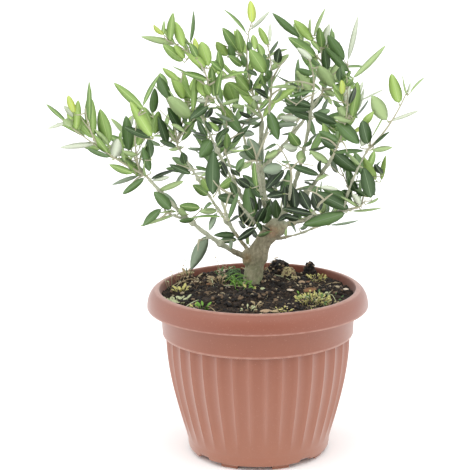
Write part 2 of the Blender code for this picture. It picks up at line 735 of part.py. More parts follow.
def make_masses(limbs, material):
    limb_lines = Lines()
    for line, radii in limbs.values():
        limb_lines.add(line, radii)
    plan = plan_shoots(limbs, limb_lines)
    for name, _, _, _, _, seed in MASSES:
        own = Lines()
        others = Lines()
        for other, shoots in plan.items():
            target = own if other == name else others
            for line, _, _ in shoots:
                target.add(line, [0.0] * len(line))
        shoots = plan[name] + add_branchlets(plan[name], own, others, limb_lines, seed)
        pieces = []
        for line, root_radius, roll in shoots:
            count = len(line) - 1
            radii = []
            for i in range(count + 1):
                radii.append(root_radius + (TWIG_TIP_RADIUS - root_radius) * i / count)
            pieces.append(add_object("twig", tube(line, radii, TWIG_SIDES, roll), material))
        pitch = SPARSE_PITCH if name in SPARSE_MASSES else NODE_PITCH
        leaves = grow_leaves(shoots, own, others, limb_lines, pitch, seed)
        for points in leaves:
            pieces.append(add_object("leaf", leaf_body(points), material))
        mass = pieces[0]
        mass.name = name
        mass.data.name = name
        if not combine(mass, pieces[1:], "UNION"):
            raise RuntimeError(name + " did not join into one closed body")


def main():
    clear_scene()
    materials = {name: make_material(name) for name in FINISHES}
    make_pot(materials["pot"])
    make_soil(materials["soil"])
    limbs = plan_limbs()
    make_trunk(*limbs["trunk"], materials["bark"])
    make_boughs(limbs, materials["bark"])
    make_masses(limbs, materials["leaf"])


main()
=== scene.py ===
"""Olive bonsai in its fluted pot: bark, leaves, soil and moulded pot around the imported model.

Places and sizes in the rows are in millimetres, seen from the front: x to the right, y to the
back and z up from the pot's underside. Only the places that were read from the photograph, of
leaves, openings and the crown's outline, are in its pixels, across and down.
"""

import math
import random

import bmesh
import bpy
import numpy as np
from mathutils import Matrix, Vector, noise
from mathutils.bvhtree import BVHTree

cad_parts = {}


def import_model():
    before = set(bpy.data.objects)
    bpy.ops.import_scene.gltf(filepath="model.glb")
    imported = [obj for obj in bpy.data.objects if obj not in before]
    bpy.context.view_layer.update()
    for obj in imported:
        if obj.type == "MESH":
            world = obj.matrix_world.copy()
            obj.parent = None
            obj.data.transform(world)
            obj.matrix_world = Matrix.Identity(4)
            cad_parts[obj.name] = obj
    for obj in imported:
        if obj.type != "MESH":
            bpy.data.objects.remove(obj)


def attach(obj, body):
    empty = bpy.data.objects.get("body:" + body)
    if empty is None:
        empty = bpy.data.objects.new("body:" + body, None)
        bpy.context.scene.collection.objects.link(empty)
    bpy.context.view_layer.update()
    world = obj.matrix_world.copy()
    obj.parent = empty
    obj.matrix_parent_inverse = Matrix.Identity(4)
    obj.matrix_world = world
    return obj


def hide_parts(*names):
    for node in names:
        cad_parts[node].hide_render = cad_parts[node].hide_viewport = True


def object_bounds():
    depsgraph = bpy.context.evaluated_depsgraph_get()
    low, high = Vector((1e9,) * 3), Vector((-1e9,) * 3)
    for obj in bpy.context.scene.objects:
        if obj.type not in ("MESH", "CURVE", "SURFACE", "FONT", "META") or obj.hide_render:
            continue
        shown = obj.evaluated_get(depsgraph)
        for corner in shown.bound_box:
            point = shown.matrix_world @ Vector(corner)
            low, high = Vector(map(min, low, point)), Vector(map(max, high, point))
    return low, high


MM = 0.001
UP = Vector((0, 0, 1))
# The side that leaves turn their upper faces to: the front, a little to the left.
LIGHT_SIDE = Vector((-0.2, -0.45, 0))

# Camera: fitted to the pot's rim, collar and feet in the photograph. Its angles are in degrees.
CAMERA_PLACE = (-22, -1455, 555.5)
CAMERA_PITCH = 12.9
CAMERA_ROLL = 0.6
CAMERA_LENS = 114.894
SENSOR = 36
PHOTO_SIZE = 470
# Softboxes: name, strength, way round from the front and tilt away from straight down.
SOFTBOXES = (
    ("softbox_top", 1.1, 0, 12),
    ("softbox_left", 0.9, -80, 58),
    ("softbox_right", 0.8, 75, 58),
)
# How wide each softbox looks, in degrees, and the side of the floor, in metres
SOFTBOX_SPREAD = 80
FLOOR_SIZE = 40

# Pot: radii and heights in millimetres, angles about its axis in degrees
POT_POINTS = 360
POT_CREASE = 32
RIDGE_TURN = math.radians(-6.3)
FLUTES = 36
LIP_RADIUS = 99.5
LIP_HEIGHT = 169
COLLAR_RADIUS = 111
COLLAR_EDGE_HEIGHT = 150
BAND_TOP_RADIUS = 97.5
BAND_FOOT_RADIUS = 96
BAND_FOOT_HEIGHT = 123.5
FLUTE_TOP_RADIUS = 92.6
FLUTE_TOP_HEIGHT = 122.5
FLUTE_FOOT_RADIUS = 73.3
FLUTE_FOOT_HEIGHT = 17
FLUTE_DEPTH = 2.5
FLUTE_ROUNDNESS = 0.8
FLUTE_FADE = 30
FLUTE_FADE_POWER = 0.7
FLUTE_STEPS = 24
COLLAR_EDGE_RISE = 0.9
COLLAR_STEPS = 12
WALL = 4.1
BASE_RADIUS = 72
BASE_TOP_HEIGHT = 13
BASE_EDGE_RADIUS = 71.2
FOOT_HEIGHT = 4.5
FOOT_REACH = 67
FOOT_DISC_RADIUS = 50
FOOT_RING_RADIUS = 58
FOOT_COUNT = 8
FOOT_FIRST = 17
FOOT_SPAN = 15
NOTCH_COUNT = 4
NOTCH_TURN = -50
NOTCH_SPAN = 11
NOTCH_RISE = 2.3

# Soil: its top, then radius and height of the rings down its hidden side
SOIL_POINTS = 300
SOIL_RINGS = 100
SOIL_RADIUS = 96.2
SOIL_EDGE_HEIGHT = 161
SOIL_SEAT_HEIGHT = 167.2
SOIL_SEAT_RADIUS = 16
SOIL_SWELL_REACH = 78
SOIL_SIDE = ((SOIL_RADIUS - 0.4, 158), (94, 150), (88, 120), (77, 60), (67.4, 8.4))
# Unevenness of the soil: size of the lumps and their rise
SOIL_LUMPS = (14, 3.0)
SOIL_CLODS = (3.4, 1.6)
QUIET_RADIUS = 22

# Heaps on the soil: x, y, radius, height, how many lumps, their size and what they are
HEAPS = (
    (24, 72, 13, 14.5, 200, 2.1, "peat"),
    (55, 69, 7, 14, 90, 1.7, "peat"),
    (8, 28, 15, 6, 170, 1.6, "fibre"),
    (33, 42, 8, 13, 560, 1.1, "dry_moss"),
    (62, 42, 9, 3, 70, 1.1, "moss"),
    (54, -38, 16, 4, 190, 1.2, "moss"),
    (52, -67, 8, 1.5, 40, 1.1, "moss"),
    (24, -71, 6, 2, 45, 1.1, "moss"),
    (-71, 50, 8, 5, 80, 1.5, "dry"),
    (-63, 30, 6, 4, 45, 1.4, "dry"),
    (-67, -34, 14, 3, 70, 2.0, "peat"),
    (-28, -32, 18, 3.5, 110, 2.5, "peat"),
    (-2, -22, 14, 3.5, 90, 2.4, "peat"),
    (34, -52, 14, 3, 70, 2.4, "peat"),
    (76, 12, 16, 3, 110, 1.7, "fibre"),
    (-38, 60, 18, 3, 110, 1.5, "fibre"),
    (46, 10, 16, 2, 90, 1.6, "fibre"),
    (-84, -4, 8, -4, 0, 1.0, "peat"),
)
# What a heap is made of, as shares of the crumbs in the order of HEAP_FINISHES
HEAP_MIXES = {
    "peat": (62, 30, 6, 2, 0, 0),
    "fibre": (30, 44, 20, 6, 0, 0),
    "dry": (4, 16, 42, 38, 0, 0),
    "dry_moss": (0, 2, 8, 12, 78, 0),
    "moss": (30, 16, 8, 8, 16, 22),
}
HEAP_FINISHES = ("crumb_black", "crumb_brown", "crumb_tan", "crumb_pale", "moss_dry", "moss_yellow")

# Small weeds: x, y, radius, height, how many leaflets, their length and their finish
TUFTS = (
    (-18, 15, 9, 5, 34, 4.4, "weed_bright"),
    (-26, 34, 9, 6, 24, 3.8, "weed_green"),
    (-33, 52, 9, 5, 16, 3.6, "weed_green"),
    (-14, 1, 8, 3, 20, 3.8, "weed_bright"),
    (-14, 30, 4, 13, 16, 3.6, "weed_green"),
    (-12, 22, 3, 9, 12, 3.4, "weed_green"),
    (-9, -2, 3, 2, 4, 6, "weed_yellow"),
    (-77, 8, 6, 3, 12, 6.5, "weed_yellow"),
    (-81, -27, 6, 3, 16, 4.5, "weed_pale"),
    (-73, -38, 6, 3, 9, 8, "weed_pale"),
    (-90, -20, 4, 2, 8, 4, "weed_pale"),
    (-53, -54, 6, 2.5, 9, 6, "weed_bright"),
    (-60, -50, 4, 2, 5, 5, "weed_yellow"),
    (-38, 27, 8, 5, 24, 6, "weed_dry"),
    (-72, 50, 8, 6, 14, 5, "weed_dry"),
    (52, -38, 15, 5, 62, 3.6, "weed_yellow"),
    (56, -40, 14, 5, 14, 3.4, "weed_green"),
    (50, -34, 14, 5, 10, 3.4, "weed_bright"),
    (58, -30, 13, 5, 22, 3.4, "weed_pale"),
    (66, -46, 9, 4, 14, 3.2, "weed_dry"),
    (62, 42, 9, 4, 26, 3.4, "weed_yellow"),
    (24, -71, 6, 2, 12, 3, "weed_yellow"),
    (-1, -58, 4, 6, 12, 3.4, "weed_dry"),
    (-10, -66, 8, 2, 14, 3.4, "weed_pale"),
    (76, -20, 8, 2, 10, 3.4, "weed_green"),
    (-71, 55, 3, 22, 8, 2.4, "weed_green"),
    (-80, 42, 3, 19, 7, 2.4, "weed_dry"),
    (-37, 78, 3, 18, 6, 2.2, "weed_dry"),
    (12, 74, 6, 8, 10, 3, "weed_dry"),
    (-87, 27, 4, 17, 6, 2.4, "weed_stalk"),
)

# Bare stalks on the soil: x, y and rise of both ends, rise of the middle, and finish
STALKS = (
    ((-46, 82, 1), (-19, 60, 4), 3, "weed_stalk"),
    ((-34, 20, 0), (-12, 14, 8), 6, "weed_bright"),
    ((-30, 8, 0), (-10, 10, 9), 5, "weed_bright"),
    ((-22, -2, 0), (-26, 16, 10), 4, "weed_bright"),
    ((-12, -4, 0), (-28, 6, 7), 6, "weed_green"),
    ((-36, 34, 1), (-20, 26, 12), 5, "weed_green"),
    ((-43, 12, 0), (-24, 6, 1), 1, "weed_stalk"),
    ((-48, 44, 2), (-44, 12, 0), 3, "weed_stalk"),
    ((-72, -52, 1), (-58, -40, 3), 1, "weed_stalk"),
    ((-50, -52, 2), (-40, -74, 0), 2, "weed_dry"),
    ((-26, 76, 0), (-36, 80, 9), 2, "weed_dry"),
    ((-30, 62, 0), (-22, 74, 7), 2, "weed_stalk"),
    ((-8, 68, 0), (-16, 74, 8), 2, "weed_stalk"),
    ((-84, 30, 0), (-62, 38, 5), 4, "weed_dry"),
    ((-88, 26, 0), (-70, 24, 3), 3, "weed_dry"),
    ((-94, -22, 1), (-82, -30, 2), 1, "weed_pale"),
    ((-4, -64, 0), (4, -50, 5), 3, "weed_dry"),
    ((14, 48, 1), (34, 30, 3), 2, "weed_stalk"),
    ((8, 66, 2), (14, 52, 2), 4, "weed_dry"),
    ((70, -12, 1), (76, -42, 2), 4, "weed_pale"),
    ((70, 30, 1), (86, 34, 3), 1, "weed_dry"),
)

# Fallen leaves and chips of bark: x, y, rise, length, width, the way they point, and finish
CHIPS = (
    (45, -17, 6, 14, 6, 100, "chip_brown"),
    (1, -69, 1, 14, 4.5, 92, "chip_pink"),
    (12, -71, 1, 12, 4, 84, "weed_dry"),
    (42, 24, 2, 8, 4.5, 120, "chip_pink"),
    (3, -5, 2, 6, 4.5, 60, "weed_pale"),
    (29, -8, 2, 8, 2.6, 115, "chip_pale"),
    (86, 4, 2, 6, 2.6, 100, "chip_pale"),
    (-32, 1, 1.5, 5, 3, 80, "chip_pale"),
    (-40, 66, 3, 9, 4, 120, "chip_pale"),
    (-72, 54, 5, 9, 5, 60, "weed_dry"),
    (50, 26, 2, 6, 3, 40, "chip_brown"),
    (-52, 20, 2, 7, 3, 75, "chip_brown"),
)
# Crumbs: how many shapes, how flat, and how far loose crumbs and fibres lie from the middle
CRUMB_SHAPES = 14
CRUMB_FLATNESS = 0.75
CRUMB_REACH = 94.5
FIBRE_REACH = 88
LOOSE_CRUMBS = 2600
LOOSE_FIBRES = 320
TRUNK_CLEARANCE = 9

# Colours on screen, 0 to 255, of the crumbs, weeds and chips
SOIL_COLOURS = (
    ("crumb_black", (21, 17, 15)),
    ("crumb_brown", (50, 39, 31)),
    ("crumb_tan", (116, 96, 74)),
    ("crumb_pale", (178, 164, 134)),
    ("moss_dry", (180, 168, 124)),
    ("moss_yellow", (168, 170, 100)),
    ("weed_bright", (112, 156, 62)),
    ("weed_green", (88, 118, 72)),
    ("weed_yellow", (196, 190, 118)),
    ("weed_pale", (182, 188, 146)),
    ("weed_dry", (168, 150, 116)),
    ("weed_stalk", (190, 198, 158)),
    ("chip_brown", (134, 98, 68)),
    ("chip_pink", (176, 150, 122)),
    ("chip_pale", (222, 206, 186)),
)
WEED_FINISHES = (
    "weed_bright", "weed_green", "weed_yellow", "weed_pale", "weed_dry", "weed_stalk",
    "chip_brown", "chip_pink", "chip_pale",
)

# Trunk
TRUNK_FOOT = (-4, 22, 167.5)
TRUNK_TOP = (20, 17, 227)
TRUNK_BOW = (-6, 1, 3.5)
TRUNK_RINGS = 22
TRUNK_RADIUS = 7.9
TRUNK_FLARE = 3.0
TRUNK_FLARE_REACH = 0.4
TRUNK_BURL = 2.6
TRUNK_BURL_PLACE = 0.43
TRUNK_BURL_REACH = 0.13
TRUNK_FORK_SWELL = 2.0
TRUNK_FORK_REACH = 0.25
LIMB_SIDES = 16

# Boughs: name, parent, share of the way along the parent, tip, sideways bow of the
# middle, radius at the root and at the tip.
BOUGHS = (
    ("bough_left_low", "trunk", 0.34, (-105, -30, 286), (2, 6, -14.5), 3.4, 1.8),
    ("twig_left_hanging", "bough_left_low", 0.44, (-55, 0, 218), (-1, 0, 0), 1.4, 1.4),
    ("twig_left_outer", "bough_left_low", 0.66, (-85, -18, 248), (0, 0, -1), 1.4, 1.4),
    ("bough_left_mid", "trunk", 0.36, (-78, 62, 299), (5, 2, -13), 2.5, 1.5),
    ("bough_left_up", "trunk", 0.78, (-52, -12, 341), (2, -4, -11), 2.5, 1.6),
    ("bough_left_side", "bough_left_up", 0.5, (-30, 25, 299), (0, 2, 0), 1.8, 1.4),
    ("bough_centre", "trunk", 0.9, (6, 22, 332), (-5, 1, -4), 3.7, 2.8),
    ("bough_top_right", "bough_centre", 0.78, (13, 0, 350), (2, -2, 0), 2.0, 1.6),
    ("bough_right_cross", "bough_centre", 0.6, (65, 45, 354), (0, 0, -4), 2.5, 1.8),
    ("bough_right_stem", "trunk", 0.98, (54, -10, 357), (5, -4, -5), 2.8, 1.8),
    ("bough_right_outer", "bough_right_stem", 0.12, (72, -35, 306), (1, 0, -5), 2.7, 2.1),
    ("bough_right_low", "trunk", 0.98, (92, -25, 253), (-1, 2, 0), 3.3, 1.8),
    ("bough_far_right", "bough_right_low", 0.9, (104, -45, 312), (-3, -2, 0), 1.7, 1.4),
    ("twig_low_right", "trunk", 0.72, (56, 46, 217), (0, 2, -3), 1.9, 1.4),
    ("bough_front_left", "trunk", 0.88, (-22, -45, 271), (0, -5, -5), 2.4, 1.6),
    ("bough_front_centre", "bough_centre", 0.22, (0, -50, 297), (0, -6, -5), 2.3, 1.6),
    ("bough_front_right", "bough_right_stem", 0.2, (32, -55, 288), (0, -5, -5), 2.2, 1.6),
    ("bough_front_low", "bough_right_low", 0.3, (57, -62, 264), (0, -4, -4), 2.1, 1.6),
    ("bough_back_left", "bough_left_mid", 0.35, (-42, 95, 262), (0, 4, -5), 2.2, 1.6),
    ("bough_back_centre", "bough_centre", 0.34, (-11, 85, 304), (0, 6, -5), 2.3, 1.6),
    ("bough_back_right", "bough_right_cross", 0.3, (45, 98, 322), (0, 5, -5), 2.1, 1.6),
    ("bough_back_low", "trunk", 0.9, (28, 80, 240), (0, 4, -6), 2.5, 1.6),
)
BOUGH_RINGS = 20
BARK_VOXEL = 0.8
BARK_EASE = 0.3
# Roughness of the bark: size of the swellings and their height, from broad to fine
BARK_SWELLS = ((9, 0.6), (2.8, 0.34), (1.5, 0.14))

# Scars and stains on the bark: where, how far they reach, their colour and strength
BARK_SCARS = (
    ((-11, 9, 194), 9, (138, 112, 74), 0.7),
    ((-10, 9, 203), 4, (84, 66, 50), 0.9),
    ((-17, 9, 201), 4, (92, 72, 50), 0.8),
    ((0, 9, 218), 4, (90, 66, 44), 0.7),
    ((15, 8, 223), 8, (166, 128, 98), 0.7),
    ((23, 5, 227), 8, (164, 148, 112), 0.5),
    ((21, 8, 214), 6, (140, 110, 76), 0.8),
    ((33, 2, 229), 9, (178, 166, 118), 0.7),
)

# Masses: name, bough that carries the stem, tip of the stem, sideways bow of the stem,
# then the side shoots as (share of the way along the stem, tip), the seed, and how light
# the spray's green is from 0, old and dark, to 1, young and bright: partly the leaves' age and
# partly painted light and shade, darker for the low and inner masses, lighter for the top ones.
MASSES = (
    ("leaves_left_end", "bough_left_low", (-184, -55, 348), (2, 2, -5),
     ((0.04, (-126, -5, 328)), (0.08, (-111, -50, 354)), (0.6, (-160, -66, 360)),
      (0.02, (-122, -22, 279))), 11, 0.62),
    ("leaves_left_hanging", "twig_left_hanging", (-59, -4, 207), (0, 0, 0), (), 31, 0.3),
    ("leaves_left_outer", "twig_left_outer", (-98, -22, 244), (0, 0, -1),
     ((0.1, (-91, -14, 263)),), 32, 0.2),
    ("leaves_left_mid", "bough_left_mid", (-63, 72, 351), (-3, 0, 0),
     ((0.06, (-94, 74, 362)), (0.04, (-108, 80, 331)), (0.12, (-58, 45, 335))), 12, 0.6),
    ("leaves_left_side", "bough_left_side", (-31, 42, 341), (2, 0, 0),
     ((0.2, (-12, 22, 322)),), 13, 0.35),
    ("leaves_left_top", "bough_left_up", (-85, -30, 419), (20, 0, 6),
     ((0.32, (-20, -6, 381)), (0.5, (-54, -10, 400)), (0.3, (-72, -28, 388))), 14, 0.82),
    ("leaves_top", "bough_centre", (-4, 10, 432), (-9, 0, 2),
     ((0.34, (-28, 38, 374)), (0.58, (-29, 25, 407)), (0.5, (22, 34, 400))), 15, 0.6),
    ("leaves_top_right", "bough_top_right", (9, -15, 419), (4, 0, 0),
     ((0.35, (29, -27, 400)), (0.12, (34, 5, 371))), 16, 0.5),
    ("leaves_right_top", "bough_right_cross", (63, 50, 418), (2, 0, 0),
     ((0.5, (45, 60, 407)), (0.12, (93, 35, 387)), (0.4, (85, 45, 408)),
      (0.05, (90, 34, 360))), 17, 0.45),
    ("leaves_right_stem", "bough_right_stem", (50, -18, 399), (3, 0, 0),
     ((0.3, (27, -27, 377)), (0.05, (37, -34, 356))), 18, 0.45),
    ("leaves_right_outer", "bough_right_outer", (85, -45, 376), (5, 0, 0),
     ((0.1, (59, -58, 329)), (0.45, (96, -34, 358)), (0.2, (84, -66, 316))), 19, 0.35),
    ("leaves_far_right", "bough_far_right", (141, -60, 374), (2, 0, -4),
     ((0.03, (103, -52, 346)), (0.06, (110, -55, 318))), 20, 0.7),
    ("leaves_right_end", "bough_right_low", (104, -34, 263), (0, 0, -2),
     ((0.6, (106, -18, 284)), (0.1, (88, -4, 272))), 21, 0.4),
    ("leaves_right_under", "twig_low_right", (78, 58, 226), (0, 2, -2),
     ((0.3, (72, 54, 243)),), 22, 0.2),
    ("leaves_front_low", "bough_front_low", (69, -89, 281), (2, 0, 2),
     ((0.25, (46, -92, 285)),), 23, 0.2),
    ("leaves_front_right", "bough_front_right", (22, -88, 322), (2, -4, 0),
     ((0.3, (42, -86, 314)),), 24, 0.3),
    ("leaves_front_centre", "bough_front_centre", (-8, -80, 332), (2, -4, 0),
     ((0.25, (-19, -86, 307)), (0.3, (12, -66, 338))), 25, 0.3),
    ("leaves_front_left", "bough_front_left", (-42, -74, 292), (0, -3, -3),
     ((0.15, (-32, -74, 254)), (0.25, (-50, -48, 290))), 26, 0.3),
    ("leaves_back_left", "bough_back_left", (-54, 125, 290), (0, 3, -2),
     ((0.2, (-74, 100, 268)), (0.3, (-28, 118, 284))), 27, 0.35),
    ("leaves_back_centre", "bough_back_centre", (-26, 115, 335), (0, 3, -2),
     ((0.25, (4, 110, 330)),), 28, 0.4),
    ("leaves_back_right", "bough_back_right", (50, 128, 346), (0, 3, -2),
     ((0.25, (74, 114, 316)), (0.2, (24, 120, 322))), 29, 0.4),
    ("leaves_back_low", "bough_back_low", (20, 116, 254), (0, 3, -4),
     ((0.2, (52, 106, 250)),), 30, 0.25),
)

# Knots and swellings of the bark: limb, share of the way along it, step off its line, radius.
KNOTS = (
    ("trunk", 0.46, (-10.5, -4, 0), 5.6),
    ("trunk", 0.36, (-9, -4, 0), 5.2),
    ("trunk", 0.5, (3, -6, 0), 5.0),
    ("trunk", 0.93, (5, -3, 0), 6.6),
    ("trunk", 0.8, (7, 2, 0), 4.6),
    ("bough_right_low", 0.1, (0, -1, 0), 5.0),
    ("bough_right_low", 0.24, (0, 0, 0), 3.9),
    ("bough_centre", 0.62, (0, 0, 0), 4.3),
    ("bough_centre", 0.3, (0, 0, 0), 4.2),
    ("bough_right_stem", 0.6, (0, 0, 0), 3.2),
    ("bough_right_outer", 0.45, (0, 0, 0), 3.9),
    ("bough_left_low", 0.9, (0, 0, 0), 3.0),
    ("bough_left_low", 0.62, (0, 0, 0), 3.5),
    ("bough_left_low", 0.36, (0, 0, 0), 3.8),
    ("bough_left_mid", 0.45, (0, 0, 0), 3.1),
    ("bough_left_mid", 0.8, (0, 0, 0), 2.8),
    ("bough_left_up", 0.5, (0, 0, 0), 3.2),
    ("bough_left_up", 0.8, (0, 0, 0), 2.7),
    ("bough_right_cross", 0.5, (0, 0, 0), 3.0),
)
